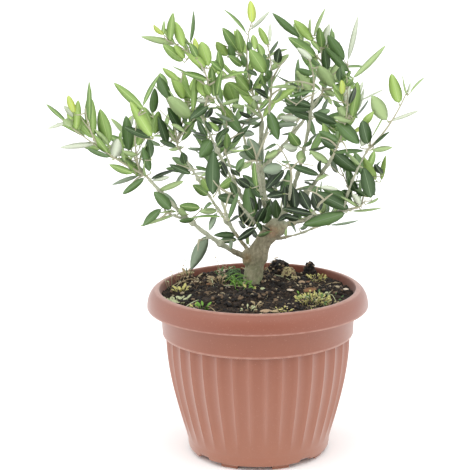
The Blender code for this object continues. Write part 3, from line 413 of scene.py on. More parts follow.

# Leaves that stand out from the front, read on enlarged parts of the photograph: root
# and tip in its pixels, across and down, width in millimetres, tone from 0, old and dark, to
# 6, young and yellow-green, and the side that shows: 1 upper, -1 underside, -2 pale underside.
# The tones hold painted light and shade as well as the leaves' age: a leaf that lies in the crown's
# shade was given a darker green.
SEEN_LEAVES = (
    (66, 122, 46, 105, 4, 3, 1), (66, 122, 47, 131, 3.5, 3, -2), (74, 113, 68, 94, 7, 6, 1),
    (74, 117, 63, 105, 5, 4, -2), (76, 130, 78, 99, 7.5, 5, 1), (89, 122, 91, 81, 6, 3, 1),
    (93, 139, 93, 98, 7, 4, 1), (109, 144, 100, 109, 13, 4, 1), (109, 146, 94, 129, 6, 4, -1),
    (108, 153, 92, 134, 8, 4, 1), (110, 157, 87, 147, 5, 2, 1), (95, 144, 59, 148, 6, 4, -2),
    (113, 158, 118, 139, 12, 4, -2), (133, 173, 108, 165, 8, 4, 1), (139, 176, 128, 163, 5, 4, 1),
    (138, 176, 112, 186, 5, 1, -1), (144, 178, 122, 194, 6.5, 2, 1), (126, 134, 110, 119, 6, 4, -1),
    (129, 151, 126, 116, 11, 2, 1), (151, 138, 123, 128, 7, 1, 1), (144, 110, 114, 82, 8.5, 4, 1),
    (152, 137, 129, 101, 12, 5, 1), (152, 136, 136, 118, 8, 6, 1), (143, 106, 157, 71, 5, 3, 1),
    (153, 113, 154, 88, 10, 2, 1), (153, 128, 144, 107, 9, 4, 1), (155, 134, 158, 110, 11.5, 4, 1),
    (167, 144, 159, 116, 10, 1, 1), (169, 98, 157, 75, 12, 2, 1), (182, 133, 167, 107, 10, 1, 1),
    (150, 171, 140, 147, 9, 2, 1), (151, 158, 148, 138, 9, 1, 1), (137, 154, 122, 152, 6, 4, -1),
    (151, 179, 176, 170, 4.5, 0, 1), (152, 181, 172, 176, 4.5, 4, -2), (159, 190, 183, 180, 6, 4, -1),
    (191, 174, 169, 165, 7.5, 1, 1), (171, 209, 155, 193, 11, 2, 1), (178, 210, 163, 193, 6, 2, -1),
    (164, 35, 153, 26, 4.5, 6, 1), (164, 35, 163, 20, 5, 4, 1), (176, 44, 140, 38, 7, 4, -1),
    (170, 42, 172, 12, 8, 4, 1), (184, 47, 175, 22, 9.5, 5, 1), (183, 61, 164, 45, 10, 4, 1),
    (185, 58, 172, 46, 8, 5, 1), (190, 43, 196, 11, 4, 2, 1), (206, 67, 186, 53, 9, 5, 1),
    (209, 66, 200, 42, 13, 5, 1), (197, 57, 190, 43, 7, 3, 1), (208, 54, 204, 42, 6, 2, 1),
    (222, 71, 209, 61, 6, 3, 1), (221, 72, 218, 51, 8, 3, 1), (227, 56, 217, 40, 10, 5, 1),
    (238, 51, 222, 28, 11, 3, 1), (242, 53, 237, 29, 9, 4, 1), (234, 60, 228, 45, 8, 2, 1),
    (246, 33, 226, 7, 4, 3, 1), (252, 23, 250, 1, 9, 6, 1), (250, 30, 271, 12, 4, 4, -2),
    (251, 50, 248, 42, 6, 2, 1), (255, 50, 253, 35, 7, 5, 1), (263, 58, 258, 42, 8, 4, 1),
    (268, 45, 259, 26, 6.5, 5, 1), (265, 73, 250, 49, 14, 4, 1), (268, 71, 264, 54, 9, 2, 1),
    (246, 66, 240, 56, 7, 2, 1), (248, 70, 257, 76, 6, 1, 1), (242, 66, 230, 56, 7, 3, 1),
    (179, 81, 163, 68, 6.5, 5, 1), (184, 99, 171, 75, 11, 5, 1), (192, 99, 176, 76, 10, 4, 1),
    (191, 117, 168, 97, 15, 5, -1), (193, 112, 195, 72, 7, 4, 1), (208, 80, 182, 72, 6.5, 3, 1),
    (204, 96, 199, 79, 11, 5, 1), (210, 95, 205, 84, 8, 4, 1), (214, 97, 212, 67, 8, 3, 1),
    (217, 96, 219, 71, 6, 3, 1), (235, 102, 228, 82, 16, 4, 1), (249, 91, 236, 75, 10, 4, 1),
    (211, 101, 196, 101, 5, 4, -2), (208, 106, 190, 119, 9, 1, 1), (222, 105, 232, 121, 10, 4, 1),
    (206, 118, 212, 107, 7, 0, 1), (209, 118, 224, 123, 6, 0, 1), (218, 131, 209, 121, 7, 4, 1),
    (252, 118, 239, 112, 5, 0, 1), (269, 98, 255, 88, 6, 0, 1), (232, 143, 250, 125, 6.5, 1, 1),
    (216, 143, 223, 130, 6, 1, 1), (269, 111, 279, 140, 11.5, 2, 1), (270, 42, 270, 24, 3.5, 4, -2),
    (268, 57, 280, 41, 3, 1, 1), (270, 56, 288, 48, 3, 4, -1), (277, 63, 279, 49, 9, 0, 1),
    (270, 71, 289, 55, 6.5, 3, -1), (300, 37, 271, 14, 8, 2, 1), (313, 41, 293, 20, 10, 5, 1),
    (316, 58, 289, 36, 12, 3, 1), (312, 60, 296, 49, 7, 4, -2), (311, 33, 309, 18, 3, 4, -1),
    (314, 37, 325, 7, 4, 4, -1), (322, 48, 320, 29, 10, 3, 1), (325, 46, 328, 24, 6, 4, -2),
    (344, 60, 329, 34, 12, 2, 1), (349, 72, 325, 46, 8.5, 2, 1), (327, 70, 324, 49, 9, 1, 1),
    (334, 87, 317, 66, 13, 4, -1), (332, 82, 338, 61, 10, 4, -1), (348, 60, 358, 15, 6, 4, -2),
    (353, 78, 387, 46, 6, 3, -1), (312, 73, 311, 57, 8, 3, 1), (318, 66, 313, 58, 6, 2, 1),
    (313, 75, 296, 68, 6.5, 2, 1), (311, 91, 297, 70, 13, 4, -1), (343, 101, 334, 83, 6.5, 4, 1),
    (343, 94, 340, 80, 7, 6, 1), (342, 101, 332, 89, 6, 4, 1), (346, 105, 349, 83, 7.5, 4, -2),
    (350, 104, 354, 86, 6, 0, 1), (352, 118, 359, 82, 10, 4, 1), (355, 103, 362, 80, 4.5, 4, -2),
    (357, 112, 365, 88, 4, 4, -2), (355, 117, 369, 100, 2.5, 1, 1), (272, 104, 294, 86, 6.5, 5, 1),
    (274, 101, 281, 88, 5, 3, 1), (297, 88, 269, 84, 5, 4, -1), (289, 97, 316, 89, 4.5, 2, 1),
    (301, 88, 275, 75, 3.5, 1, 1), (312, 106, 289, 99, 7, 1, 1), (311, 109, 285, 107, 8, 1, 1),
    (311, 118, 288, 110, 10, 1, 1), (298, 119, 280, 118, 8.5, 4, -2), (298, 125, 275, 125, 5, 2, -1),
    (313, 113, 337, 123, 9.5, 1, 1), (352, 121, 333, 117, 5, 4, -1), (346, 116, 337, 104, 9, 4, -1),
    (337, 122, 359, 144, 13.5, 2, 1), (399, 103, 392, 74, 12, 5, 1), (387, 120, 371, 96, 14, 4, -1),
    (407, 94, 402, 75, 2, 4, -1), (408, 93, 411, 83, 2.5, 4, -2), (410, 93, 424, 77, 2, 4, -1),
    (390, 121, 420, 111, 3.5, 4, -2), (360, 101, 385, 87, 2, 4, -2), (362, 125, 373, 112, 7, 5, 1),
    (368, 144, 361, 120, 12, 1, 1), (361, 146, 366, 133, 8, 4, -2), (356, 133, 359, 127, 5, 6, 1),
    (372, 147, 391, 132, 3, 1, 1), (372, 150, 392, 146, 5.5, 4, -1), (364, 151, 334, 152, 4, 2, 1),
    (330, 149, 357, 174, 13.5, 1, 1), (337, 147, 320, 139, 9, 1, 1), (338, 141, 320, 132, 8, 2, 1),
    (329, 163, 310, 150, 8.5, 3, -1), (308, 150, 330, 147, 4, 1, 1), (309, 144, 318, 131, 3, 1, 1),
    (302, 150, 300, 165, 10, 4, -1), (299, 146, 290, 133, 10.5, 3, 1), (298, 147, 282, 148, 10, 4, -2),
    (319, 175, 287, 165, 7.5, 1, 1), (320, 173, 320, 162, 5, 0, 1), (361, 166, 347, 153, 3.5, 3, -1),
    (376, 180, 363, 158, 9.5, 5, 1), (381, 180, 388, 155, 6, 5, 1), (382, 174, 375, 165, 6, 0, 1),
    (371, 198, 365, 168, 14, 1, 1), (357, 192, 348, 177, 8, 1, 1), (366, 196, 355, 188, 6, 1, 1),
    (352, 197, 340, 190, 7.5, 1, 1), (361, 206, 352, 193, 7.5, 4, -2), (359, 208, 341, 197, 4, 4, -1),
    (320, 187, 339, 189, 4.5, 4, -2), (314, 181, 304, 181, 2, 2, -1), (313, 184, 304, 183, 2.5, 1, 1),
    (367, 204, 378, 199, 2.5, 4, -1), (352, 211, 382, 208, 3, 4, -1), (330, 225, 359, 220, 2.5, 2, -1),
    (290, 223, 297, 232, 3, 1, 1), (286, 237, 287, 223, 5, 4, -1), (375, 194, 374, 188, 3, 1, 1),
    (349, 209, 314, 190, 12, 1, 1), (345, 213, 303, 227, 12, 2, 1), (314, 214, 281, 209, 6.5, 0, 1),
    (315, 216, 282, 211, 5, 2, 1), (321, 214, 325, 199, 8, 4, -1), (320, 211, 312, 192, 11, 0, 1),
    (310, 210, 299, 190, 11, 0, 1), (297, 208, 286, 184, 14, 0, 1), (290, 207, 288, 173, 10, 2, 1),
    (295, 208, 294, 186, 8, 0, 1), (285, 208, 284, 186, 6, 0, 1), (257, 221, 261, 231, 5, 1, 1),
    (262, 226, 271, 228, 3, 0, 1), (284, 170, 265, 188, 9.5, 0, 1), (282, 166, 264, 171, 11.5, 1, -1),
    (281, 181, 276, 189, 6, 0, 1), (283, 194, 267, 197, 8.5, 0, 1), (278, 220, 275, 198, 12, 1, 1),
    (264, 224, 269, 204, 11, 1, 1), (257, 222, 264, 206, 10, 0, 1), (270, 200, 262, 208, 8, 1, 1),
    (278, 151, 264, 157, 7, 4, -1), (276, 145, 264, 149, 4, 1, 1), (291, 132, 281, 137, 4, 1, 1),
    (262, 161, 248, 139, 12, 2, -1), (260, 160, 239, 152, 10, 2, -1), (256, 159, 243, 146, 9, 1, 1),
    (251, 161, 238, 169, 6, 3, -1), (236, 171, 243, 158, 5.5, 2, 1), (235, 172, 248, 163, 5, 3, -1),
    (257, 188, 253, 162, 7.5, 3, 1), (258, 190, 243, 173, 9, 1, 1), (250, 187, 237, 178, 8.5, 0, 1),
    (253, 222, 248, 184, 15, 2, 1), (262, 198, 252, 186, 9, 1, 1), (238, 200, 218, 197, 10.5, 1, 1),
    (229, 219, 236, 191, 5, 2, 1), (236, 195, 230, 182, 7, 1, 1), (234, 179, 218, 188, 9.5, 4, 1),
    (213, 195, 212, 151, 14, 1, 1), (201, 176, 221, 164, 4, 4, -1), (202, 178, 211, 191, 9, 4, 1),
    (208, 195, 194, 184, 10, 3, 1), (227, 176, 220, 161, 6, 0, 1), (208, 171, 196, 165, 3.5, 2, 1),
    (211, 140, 200, 157, 14, 2, 1), (207, 139, 193, 135, 4, 1, 1), (205, 148, 188, 148, 3, 2, -1),
    (207, 136, 190, 131, 4, 1, 1), (207, 137, 197, 120, 6, 1, 1), (181, 141, 196, 121, 6, 3, 1),
    (227, 149, 227, 134, 8, 3, 1), (185, 164, 182, 151, 8.5, 1, 1), (200, 208, 178, 206, 9, 3, 1),
    (217, 211, 198, 210, 7.5, 4, -1), (221, 217, 191, 216, 3.5, 3, 1), (187, 214, 177, 210, 8, 4, -1),
    (195, 218, 180, 222, 4, 2, 1), (176, 212, 158, 211, 4, 3, -1), (161, 209, 142, 226, 9, 2, 1),
    (177, 214, 140, 228, 3.5, 4, -1), (217, 213, 208, 231, 6, 1, -1), (207, 236, 192, 269, 13, 2, -1),
    (236, 235, 214, 235, 7, 1, 1), (254, 227, 238, 205, 12, 0, 1), (255, 228, 237, 241, 7.5, 0, 1),
    (237, 240, 219, 240, 7, 1, 1), (233, 241, 229, 249, 5, 2, -1), (239, 217, 229, 220, 4.5, 0, 1),
    (246, 227, 237, 222, 6, 0, 1), (249, 244, 247, 234, 4.5, 4, -1), (255, 110, 254, 101, 7.5, 4, -1),
    (262, 98, 252, 98, 5, 4, -2), (262, 103, 258, 96, 5, 3, -1), (244, 106, 232, 105, 4.5, 3, -1),
    (222, 104, 240, 99, 5, 3, -1), (232, 120, 213, 114, 5, 2, -1), (234, 122, 262, 119, 4, 2, -1),
    (250, 124, 240, 121, 3.5, 1, 1), (222, 125, 214, 131, 5, 1, 1), (225, 141, 219, 147, 5, 1, 1),
    (245, 150, 230, 151, 3, 3, -1), (196, 110, 206, 121, 4, 4, -1), (185, 132, 171, 124, 4, 3, -1),
    (303, 147, 312, 141, 4, 2, 1), (327, 85, 318, 84, 6, 3, 1), (333, 101, 340, 106, 4, 2, 1),
    (328, 99, 322, 110, 3.5, 1, 1), (345, 87, 353, 79, 5, 3, 1), (346, 76, 341, 66, 5, 2, 1),
    (340, 82, 339, 68, 6, 1, 1), (243, 222, 238, 206, 6, 0, 1), (260, 212, 257, 197, 5, 0, 1),
    (273, 216, 270, 198, 6, 0, 1), (299, 219, 284, 215, 7, 0, 1), (258, 237, 250, 229, 6, 0, 1),
    (236, 178, 243, 190, 5, 0, 1), (262, 165, 264, 150, 3, 1, 1), (228, 128, 222, 136, 6, 1, 1),
    (212, 132, 206, 122, 4, 1, 1), (262, 122, 251, 127, 5, 1, 1), (250, 96, 229, 81, 8, 4, 1),
    (291, 214, 279, 220, 6, 0, 1), (176, 147, 160, 139, 6, 1, 1), (182, 147, 168, 149, 5, 4, -1),
    (160, 146, 150, 140, 5, 2, 1), (300, 228, 308, 224, 4, 2, 1), (270, 232, 259, 236, 4, 2, 1),
    (212, 204, 203, 208, 5, 2, 1), (335, 96, 322, 88, 7, 4, -1), (322, 92, 331, 106, 5, 3, -1),
    (265, 88, 262, 76, 5, 3, 1), (268, 96, 264, 84, 4, 1, 1), (239, 176, 232, 168, 5, 0, 1),
    (226, 178, 221, 170, 5, 0, 1), (254, 210, 251, 198, 5, 0, 1), (302, 218, 288, 217, 6, 1, 1),
    (327, 176, 317, 181, 4, 4, -1), (271, 78, 268, 70, 6, 2, 1), (252, 92, 262, 74, 4, 3, 1),
    (259, 84, 272, 72, 6, 2, 1), (250, 90, 251, 80, 4, 1, 1),
)

# Openings of the crown where the background shows, read in the same way: the middle in
# pixels and the radius in millimetres.
SKY = (
    (50, 92, 12), (103, 92, 8), (124, 80, 9), (137, 88, 8), (136, 74, 12), (150, 62, 10), (146, 97, 3),
    (58, 114, 4), (57, 138, 6), (80, 152, 5), (92, 165, 9), (100, 175, 9), (104, 195, 14),
    (124, 210, 13), (140, 200, 8), (137, 147, 5.5), (160, 160, 8), (167, 153, 5), (176, 191, 7),
    (188, 196, 6), (201, 201, 3), (150, 235, 14), (175, 232, 10), (190, 240, 7), (204, 223, 6),
    (225, 226, 5), (196, 226, 4), (180, 258, 9), (222, 256, 6), (233, 258, 5), (163, 103, 3.5),
    (182, 98, 3.5), (198, 106, 3), (183, 27, 5), (150, 50, 7), (155, 60, 8), (205, 25, 11),
    (213, 47, 4), (230, 18, 7), (190, 65, 3.5), (186, 82, 3), (263, 14, 7), (287, 8, 12), (283, 32, 8),
    (283, 52, 4), (291, 62, 5.5), (285, 76, 5), (281, 106, 5), (256, 128, 4.5), (238, 132, 4.5),
    (284, 130, 4), (305, 97, 4.5), (320, 128, 5), (334, 110, 4), (308, 160, 4), (300, 176, 5),
    (310, 178, 4), (334, 180, 8), (296, 227, 5), (312, 240, 9), (345, 237, 10), (243, 238, 3),
    (197, 144, 3.5), (224, 208, 5), (212, 204, 5), (378, 120, 4), (381, 138, 4), (367, 88, 5),
    (378, 82, 9), (384, 62, 12), (370, 45, 8), (342, 25, 10), (337, 14, 10), (302, 10, 10),
    (365, 12, 10), (402, 118, 5), (408, 104, 5), (402, 135, 9), (410, 90, 3), (400, 165, 12),
    (392, 190, 9), (385, 225, 12), (240, 207, 2), (328, 169, 3), (216, 222, 3), (186, 158, 4),
    (194, 168, 4), (84, 130, 3), (64, 113, 3), (119, 126, 3), (159, 174, 3), (235, 156, 3),
    (332, 205, 4), (296, 224, 4), (249, 240, 4), (228, 65, 3), (250, 135, 2.5), (220, 130, 2.5),
    (290, 155, 3), (220, 190, 3), (115, 133, 4), (178, 177, 3.5), (175, 161, 3), (190, 190, 3),
    (190, 70, 3), (213, 55, 3.5), (303, 63, 3), (196, 161, 4), (191, 155, 4.5), (197, 163, 3),
    (232, 65, 3.5), (186, 187, 5),
)

# Outline of the crown, read in the same way, in pixels.
OUTLINE = (
    (46, 103), (62, 101), (66, 93), (74, 93), (84, 98), (86, 80), (92, 80), (97, 97), (101, 107),
    (108, 112), (112, 119), (122, 116), (131, 116), (130, 108), (112, 82), (118, 82), (128, 90),
    (144, 102), (155, 72), (162, 66), (186, 68), (184, 62), (163, 50), (162, 44), (140, 40), (140, 34),
    (153, 25), (162, 19), (171, 12), (180, 24), (188, 40), (194, 12), (198, 13), (194, 40), (208, 41),
    (214, 58), (216, 40), (221, 27), (238, 28), (244, 34), (248, 22), (247, 1), (254, 1), (257, 10),
    (254, 24), (262, 25), (270, 40), (278, 46), (286, 48), (292, 54), (280, 68), (296, 80), (295, 68),
    (296, 50), (290, 35), (298, 35), (272, 16), (274, 13), (300, 20), (312, 34), (316, 30), (330, 25),
    (346, 50), (350, 40), (353, 14), (359, 14), (355, 50), (352, 68), (376, 50), (386, 45), (372, 66),
    (358, 76), (363, 82), (364, 100), (358, 114), (372, 111), (371, 96), (384, 104), (390, 112),
    (398, 104), (390, 80), (393, 73), (402, 86), (402, 100), (388, 124), (373, 146), (393, 144),
    (390, 150), (372, 154), (386, 156), (386, 168), (374, 184), (370, 198), (382, 206), (356, 214),
    (350, 218), (330, 226), (304, 231), (288, 238), (278, 240), (260, 232), (244, 246), (214, 240),
    (206, 238), (207, 250), (193, 270), (188, 262), (200, 238), (182, 222), (142, 228), (144, 212),
    (158, 208), (155, 196), (158, 190), (148, 184), (126, 196), (122, 192), (134, 182), (112, 189),
    (114, 184), (128, 178), (110, 168), (108, 164), (122, 162), (100, 156), (86, 148), (60, 150),
    (58, 146), (84, 142), (62, 126), (48, 132), (46, 128), (60, 120),
)

# Greens of the leaves from old and dark to young and light, as they look on screen, 0 to 255; which one
# a leaf gets also paints the light and shade where it hangs
GREENS = (
    ("leaf_deepest", (36, 53, 30)),
    ("leaf_deep", (66, 92, 52)),
    ("leaf_dark", (93, 124, 70)),
    ("leaf_grown", (115, 147, 80)),
    ("leaf_bright", (136, 167, 90)),
    ("leaf_fresh", (156, 186, 98)),
    ("leaf_young", (188, 206, 96)),
)
# Undersides of dark, green and pale leaves, then ribs of dark and light ones
LEAF_BACKS = (
    ("leaf_under", (136, 152, 128), 0.7),
    ("leaf_under_green", (158, 180, 124), 0.65),
    ("leaf_under_pale", (198, 206, 184), 0.7),
    ("leaf_rib_dark", (112, 132, 98), 0.5),
    ("leaf_rib_light", (172, 192, 126), 0.5),
)
# Piles of leaves by their green, darkest first; the darker piles also hold leaves given painted shade.
LEAF_KINDS = ("leaves_dark", "leaves_mid", "leaves_light")

# Twigs: radii and lengths, and how far apart and how clear of each other they grow
STEM_RADIUS = 1.3
SHOOT_RADIUS = 1.1
BRANCHLET_RADIUS = 0.8
FINE_RADIUS = 0.6
TWIG_TIP_RADIUS = 0.45
STEM_STRAIGHT = 4
STEM_STEPS = 10
SHOOT_STEPS = 7
SHOOT_BEND = 0.08
TWIG_SIDES = 6
# The two rounds of branchlets: first place, pitch, length, clearance and radius
BRANCHLETS = (
    (16, 48, 24, 5, BRANCHLET_RADIUS),
    (8, 30, 20, 4, FINE_RADIUS),
)

# Leaves: where the pairs stand along a shoot, and a grown leaf's size and turn
FIRST_NODE = 7
LAST_NODE = 1.5
NODE_PITCH = 9.2
SPARSE_PITCH = 16
SPARSE_MASSES = ("leaves_far_right", "leaves_left_hanging")
LEAF_LENGTH = 31
LEAF_WIDTH = 9.6
LEAF_DEPTH = 1.1
LEAF_THICKNESS = 0.4
LEAF_SIZES = (0.7, 1.18)
LEAF_TRIES = 14
LEAF_SWING = 0.3
LEAF_ROLL = 1.0
LEAF_OPENING = (36, 68)
LEAF_NEIGHBOURHOOD = 42
END_LEAF_SIZES = (0.6, 0.78)
END_LEAF_OPENING = 20
END_LEAF_ROLL = 0.6
PETIOLE = 2.6
# Shape of a blade: places of its cross-sections, then the ranges of its fold, arch, twist,
# sideways lean and bluntness
BLADE_STATIONS = (0.0, 0.08, 0.22, 0.42, 0.62, 0.8, 0.93, 1.0)
BLADE_FOLD = (0.1, 0.34)
BLADE_ARCH = (-0.1, 0.14)
BLADE_TWIST = (-0.35, 0.35)
BLADE_LEAN = (-0.05, 0.05)
BLADE_BLUNTNESS = (0.55, 0.8)
BLADE_CORNERS = 5
RIB_HALF_WIDTH = 0.32
# Steps in depth that are tried, from the nearest shoot, for a leaf seen from the front
DEPTH_STEPS = (0, -4, 4, -8, 8, -12, 12, -16, 16, -20)
MOST_TILT = 12
# A leaf with a pale underside: its side in the readings, what marks it when added to its tone,
# and the share of such leaves among those that grow by rule
PALE_SIDE = -2
PALE_STEP = 2
PALE_SHARE = 0.15
SKY_SLACK = 0.8
BARE_MARGIN = 1.6
BARE_PITCH = 3
# Stretches of the limbs that show between the leaves: limb, then shares of the way along it.
BARE_STRETCHES = (
    ("trunk", 0.0, 1.0),
    ("bough_left_low", 0.03, 0.97),
    ("bough_left_mid", 0.05, 0.8),
    ("bough_left_up", 0.25, 0.9),
    ("bough_centre", 0.4, 0.95),
    ("bough_right_cross", 0.1, 1.0),
    ("bough_right_stem", 0.3, 0.95),
    ("bough_right_outer", 0.45, 1.0),
    ("bough_right_low", 0.0, 0.4),
    ("twig_low_right", 0.0, 0.7),
)
# Room that a leaf keeps from other masses, limbs and twigs, the height it stays above, and
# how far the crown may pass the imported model's box
SPACE_MARGIN = 1.0
LIMB_MARGIN = 1.0
TWIG_MARGIN = 0.5
LEAF_FLOOR = 176
BOX_SLACK = 3
# Faces of the six corners that stand for a leaf when its room is tested
LEAF_FACES = (
    (0, 2, 3), (2, 4, 3), (3, 4, 5), (4, 1, 5), (0, 1, 2), (2, 1, 4), (0, 3, 1), (3, 5, 1),
)


def srgb(red, green, blue):
    """A colour given as it looks on screen, 0 to 255, as the shader's linear values."""
    values = []
    for level in (red, green, blue):
        share = level / 255
        values.append(share / 12.92 if share <= 0.04045 else ((share + 0.055) / 1.055) ** 2.4)
    return tuple(values)


# Materials

class Wire:
    """A socket or number in a material's sums, so shader maths reads as ordinary maths."""

    def __init__(self, finish, socket):
        self.finish = finish
        self.socket = socket

    def __add__(self, other):
        return self.finish.maths("ADD", self, other)

    def __radd__(self, other):
        return self.finish.maths("ADD", other, self)

    def __sub__(self, other):
        return self.finish.maths("SUBTRACT", self, other)

    def __rsub__(self, other):
        return self.finish.maths("SUBTRACT", other, self)

    def __mul__(self, other):
        return self.finish.maths("MULTIPLY", self, other)


class Finish:
    """A material with its shader, and one way to add any other node to it."""

    def __init__(self, name, colour, roughness, **fixed):
        self.material = bpy.data.materials.new(name)
        self.material.use_nodes = True
        self.tree = self.material.node_tree
        self.shader = self.tree.nodes["Principled BSDF"]
        self.shader.inputs["Base Color"].default_value = (*colour, 1)
        self.shader.inputs["Roughness"].default_value = roughness
        for socket, value in fixed.items():
            self.shader.inputs[socket.replace("_", " ").title()].default_value = value

    def plug(self, socket, value):
        if isinstance(value, Wire):
            self.tree.links.new(value.socket, socket)
        elif isinstance(value, tuple) and len(value) == 3 and socket.type == "RGBA":
            socket.default_value = (*value, 1)
        else:
            socket.default_value = value

    def node(self, kind, settings, sockets, output=0):
        """Add a node, give it its settings, then the values or links of its sockets."""
        node = self.tree.nodes.new(kind)
        for setting, value in settings.items():
            if setting == "stops":
                self.set_stops(node.color_ramp, value)
            else:
                setattr(node, setting, value)
        for socket, value in sockets.items():
            self.plug(node.inputs[socket], value)
        return Wire(self, node.outputs[output])

    def set_stops(self, ramp, stops):
        while len(ramp.elements) < len(stops):
            ramp.elements.new(0.5)
        for element, (place, value) in zip(ramp.elements, stops):
            element.position = place
            element.color = (*value, 1) if isinstance(value, tuple) else (value, value, value, 1)

    def maths(self, operation, *values):
        return self.node("ShaderNodeMath", {"operation": operation}, dict(enumerate(values)))

    def spread(self, value, low, high, first, last):
        """First at the low value, last at the high one, even between and level beyond."""
        sockets = {"Value": value, 1: low, 2: high, 3: first, 4: last}
        return self.node("ShaderNodeMapRange", {}, sockets)

    def place(self):
        """The point's own place on the object, in metres."""
        return self.node("ShaderNodeTexCoord", {}, {}, "Object")

    def axis(self, name):
        return self.node("ShaderNodeSeparateXYZ", {}, {0: self.place()}, name)

    def noise(self, scale, detail=4.0, rough=0.55, stretch=(1, 1, 1)):
        spot = self.node("ShaderNodeMapping", {}, {"Vector": self.place(), "Scale": stretch})
        sockets = {"Vector": spot, "Scale": scale, "Detail": detail, "Roughness": rough}
        return self.node("ShaderNodeTexNoise", {}, sockets)

    def cells(self, scale):
        sockets = {"Vector": self.place(), "Scale": scale}
        return self.node("ShaderNodeTexVoronoi", {}, sockets, "Distance")

    def near(self, spot, reach):
        """One at a spot, given in millimetres, falling to nothing at its reach."""
        sockets = {0: self.place(), 1: tuple(value * MM for value in spot)}
        away = self.node("ShaderNodeVectorMath", {"operation": "DISTANCE"}, sockets, "Value")
        return self.spread(away, 0.0, reach * MM, 1.0, 0.0)

    def ramp(self, value, *stops):
        return self.node("ShaderNodeValToRGB", {"stops": stops}, {0: value})

    def clamp(self, value):
        return self.node("ShaderNodeClamp", {}, {"Value": value})

    def band(self, value, low, high, soft):
        """One between two heights, falling softly to nothing outside them."""
        rise = self.spread(value, low - soft, low, 0.0, 1.0)
        return rise * self.spread(value, high, high + soft, 1.0, 0.0)

    def blend(self, share, first, second):
        """Mix of two colours by a share, through the mix node's own colour sockets."""
        node = self.tree.nodes.new("ShaderNodeMix")
        node.data_type = "RGBA"
        self.plug(node.inputs[0], share)
        self.plug(node.inputs[6], first)
        self.plug(node.inputs[7], second)
        return Wire(self, node.outputs[2])

    def relief(self, height, strength, distance):
        sockets = {"Height": height, "Strength": strength, "Distance": distance}
        self.feed("Normal", self.node("ShaderNodeBump", {}, sockets))

    def feed(self, socket, value):
        self.plug(self.shader.inputs[socket], value)


def pot_plastic():
    """Moulded plastic: matt terracotta, paler towards the foot as a painted bounce light, with painted
    highlights on the flute ridges and pale lines along the moulding's edges that are partly wear and
    partly painted highlight.
    """
    finish = Finish("moulded_pot", srgb(132, 72, 47), 0.4, sheen_weight=0.28, sheen_roughness=0.6)
    cloud = finish.noise(38.0, 5.0)
    body = finish.blend(cloud, srgb(126, 66, 42), srgb(138, 77, 51))
    height = finish.axis("Z")
    # Painted light: the wall turns paler towards the foot, a painted bounce light from the pale floor.
    foot = finish.spread(height, 0.0, 0.13, 0.6, 0.0)
    body = finish.blend(foot, body, srgb(162, 106, 80))
    collar = finish.band(height, 0.152, 0.168, 0.002)
    body = finish.blend(collar * 0.5, body, srgb(121, 57, 35))
    # Painted highlight: a pale line along each flute's ridge, where the light catches the fluting.
    angle = finish.maths("ARCTAN2", finish.axis("X"), 0 - finish.axis("Y"))
    turn = (angle - RIDGE_TURN) * (FLUTES / (2 * math.pi))
    off = finish.maths("ABSOLUTE", finish.maths("FRACT", turn) - 0.5) * 2
    ridge = finish.ramp(off, (0.45, 0.0), (0.95, 1.0))
    fluted = finish.band(height, 0.05, 0.2, 0.025) * finish.band(height, 0.0, 0.1215, 0.001)
    body = finish.blend(ridge * fluted * 0.14, body, srgb(190, 142, 124))
    # Pale lines along the moulding's edges, broken up by noise: partly scuffed wear, partly a painted
    # highlight on the edges' small beads.
    edges = finish.band(height, 0.1495, 0.1513, 0.0008) + finish.band(height, 0.1229, 0.1247, 0.0006)
    edges = edges + finish.band(height, 0.1683, 0.17, 0.0007)
    wear_and_highlight = finish.ramp(finish.noise(160.0, 3.0), (0.3, 0.35), (0.62, 1.0))
    body = finish.blend(edges * wear_and_highlight * 0.3, body, srgb(206, 164, 148))
    specks = finish.ramp(finish.noise(900.0, 2.0), (0.66, 0.0), (0.72, 1.0))
    body = finish.blend(specks * 0.25, body, srgb(196, 150, 132))
    finish.feed("Base Color", body)
    finish.feed("Roughness", 0.34 + cloud * 0.12)
    finish.relief(finish.noise(1400.0, 3.0), 0.12, 0.0004)
    return finish.material


def bark_finish():
    """Young olive bark: grey-beige and mottled, with a green foot and brown, pinkish scars."""
    finish = Finish("olive_bark", srgb(128, 124, 104), 0.85)
    cloud = finish.noise(70.0, 6.0, 0.6, (1, 1, 0.35))
    body = finish.ramp(
        cloud,
        (0.3, srgb(110, 103, 82)),
        (0.48, srgb(138, 131, 106)),
        (0.66, srgb(160, 152, 127)),
    )
    height = finish.axis("Z")
    foot = finish.spread(height, 0.168, 0.2, 0.8, 0.0)
    algae = finish.ramp(finish.noise(110.0, 4.0), (0.35, 0.35), (0.6, 1.0))
    body = finish.blend(foot * algae, body, srgb(120, 132, 92))
    outer = finish.ramp(finish.near((6, 20, 200), 48), (0.16, 0.82), (0.34, 0.0))
    body = finish.blend(outer, body, srgb(170, 174, 151))
    # Painted highlight: the boughs on the left are paler, standing for the light that falls on them
    # from the left.
    left = finish.spread(finish.axis("X"), -0.02, -0.045, 0.0, 0.6)
    body = finish.blend(left, body, srgb(196, 200, 176))
    mottle = finish.noise(430.0, 4.0, 0.7, (1, 1, 0.5))
    body = finish.blend(finish.ramp(mottle, (0.5, 0.0), (0.68, 0.55)), body, srgb(92, 86, 68))
    body = finish.blend(finish.ramp(mottle, (0.32, 0.5), (0.46, 0.0)), body, srgb(176, 172, 150))
    for spot, reach, colour, strength in BARK_SCARS:
        scar = finish.near(spot, reach) * finish.ramp(finish.noise(240.0, 3.0), (0.35, 0.5), (0.6, 1.6))
        body = finish.blend(finish.clamp(scar * strength), body, srgb(*colour))
    pores = finish.ramp(finish.cells(420.0), (0.1, 1.0), (0.22, 0.0))
    body = finish.blend(pores * 0.3, body, srgb(178, 168, 146))
    finish.feed("Base Color", body)
    streaks = finish.noise(260.0, 5.0, 0.65, (1, 1, 0.3))
    finish.relief(streaks + mottle * 0.7 + pores * 0.4, 0.8, 0.0012)
    return finish.material


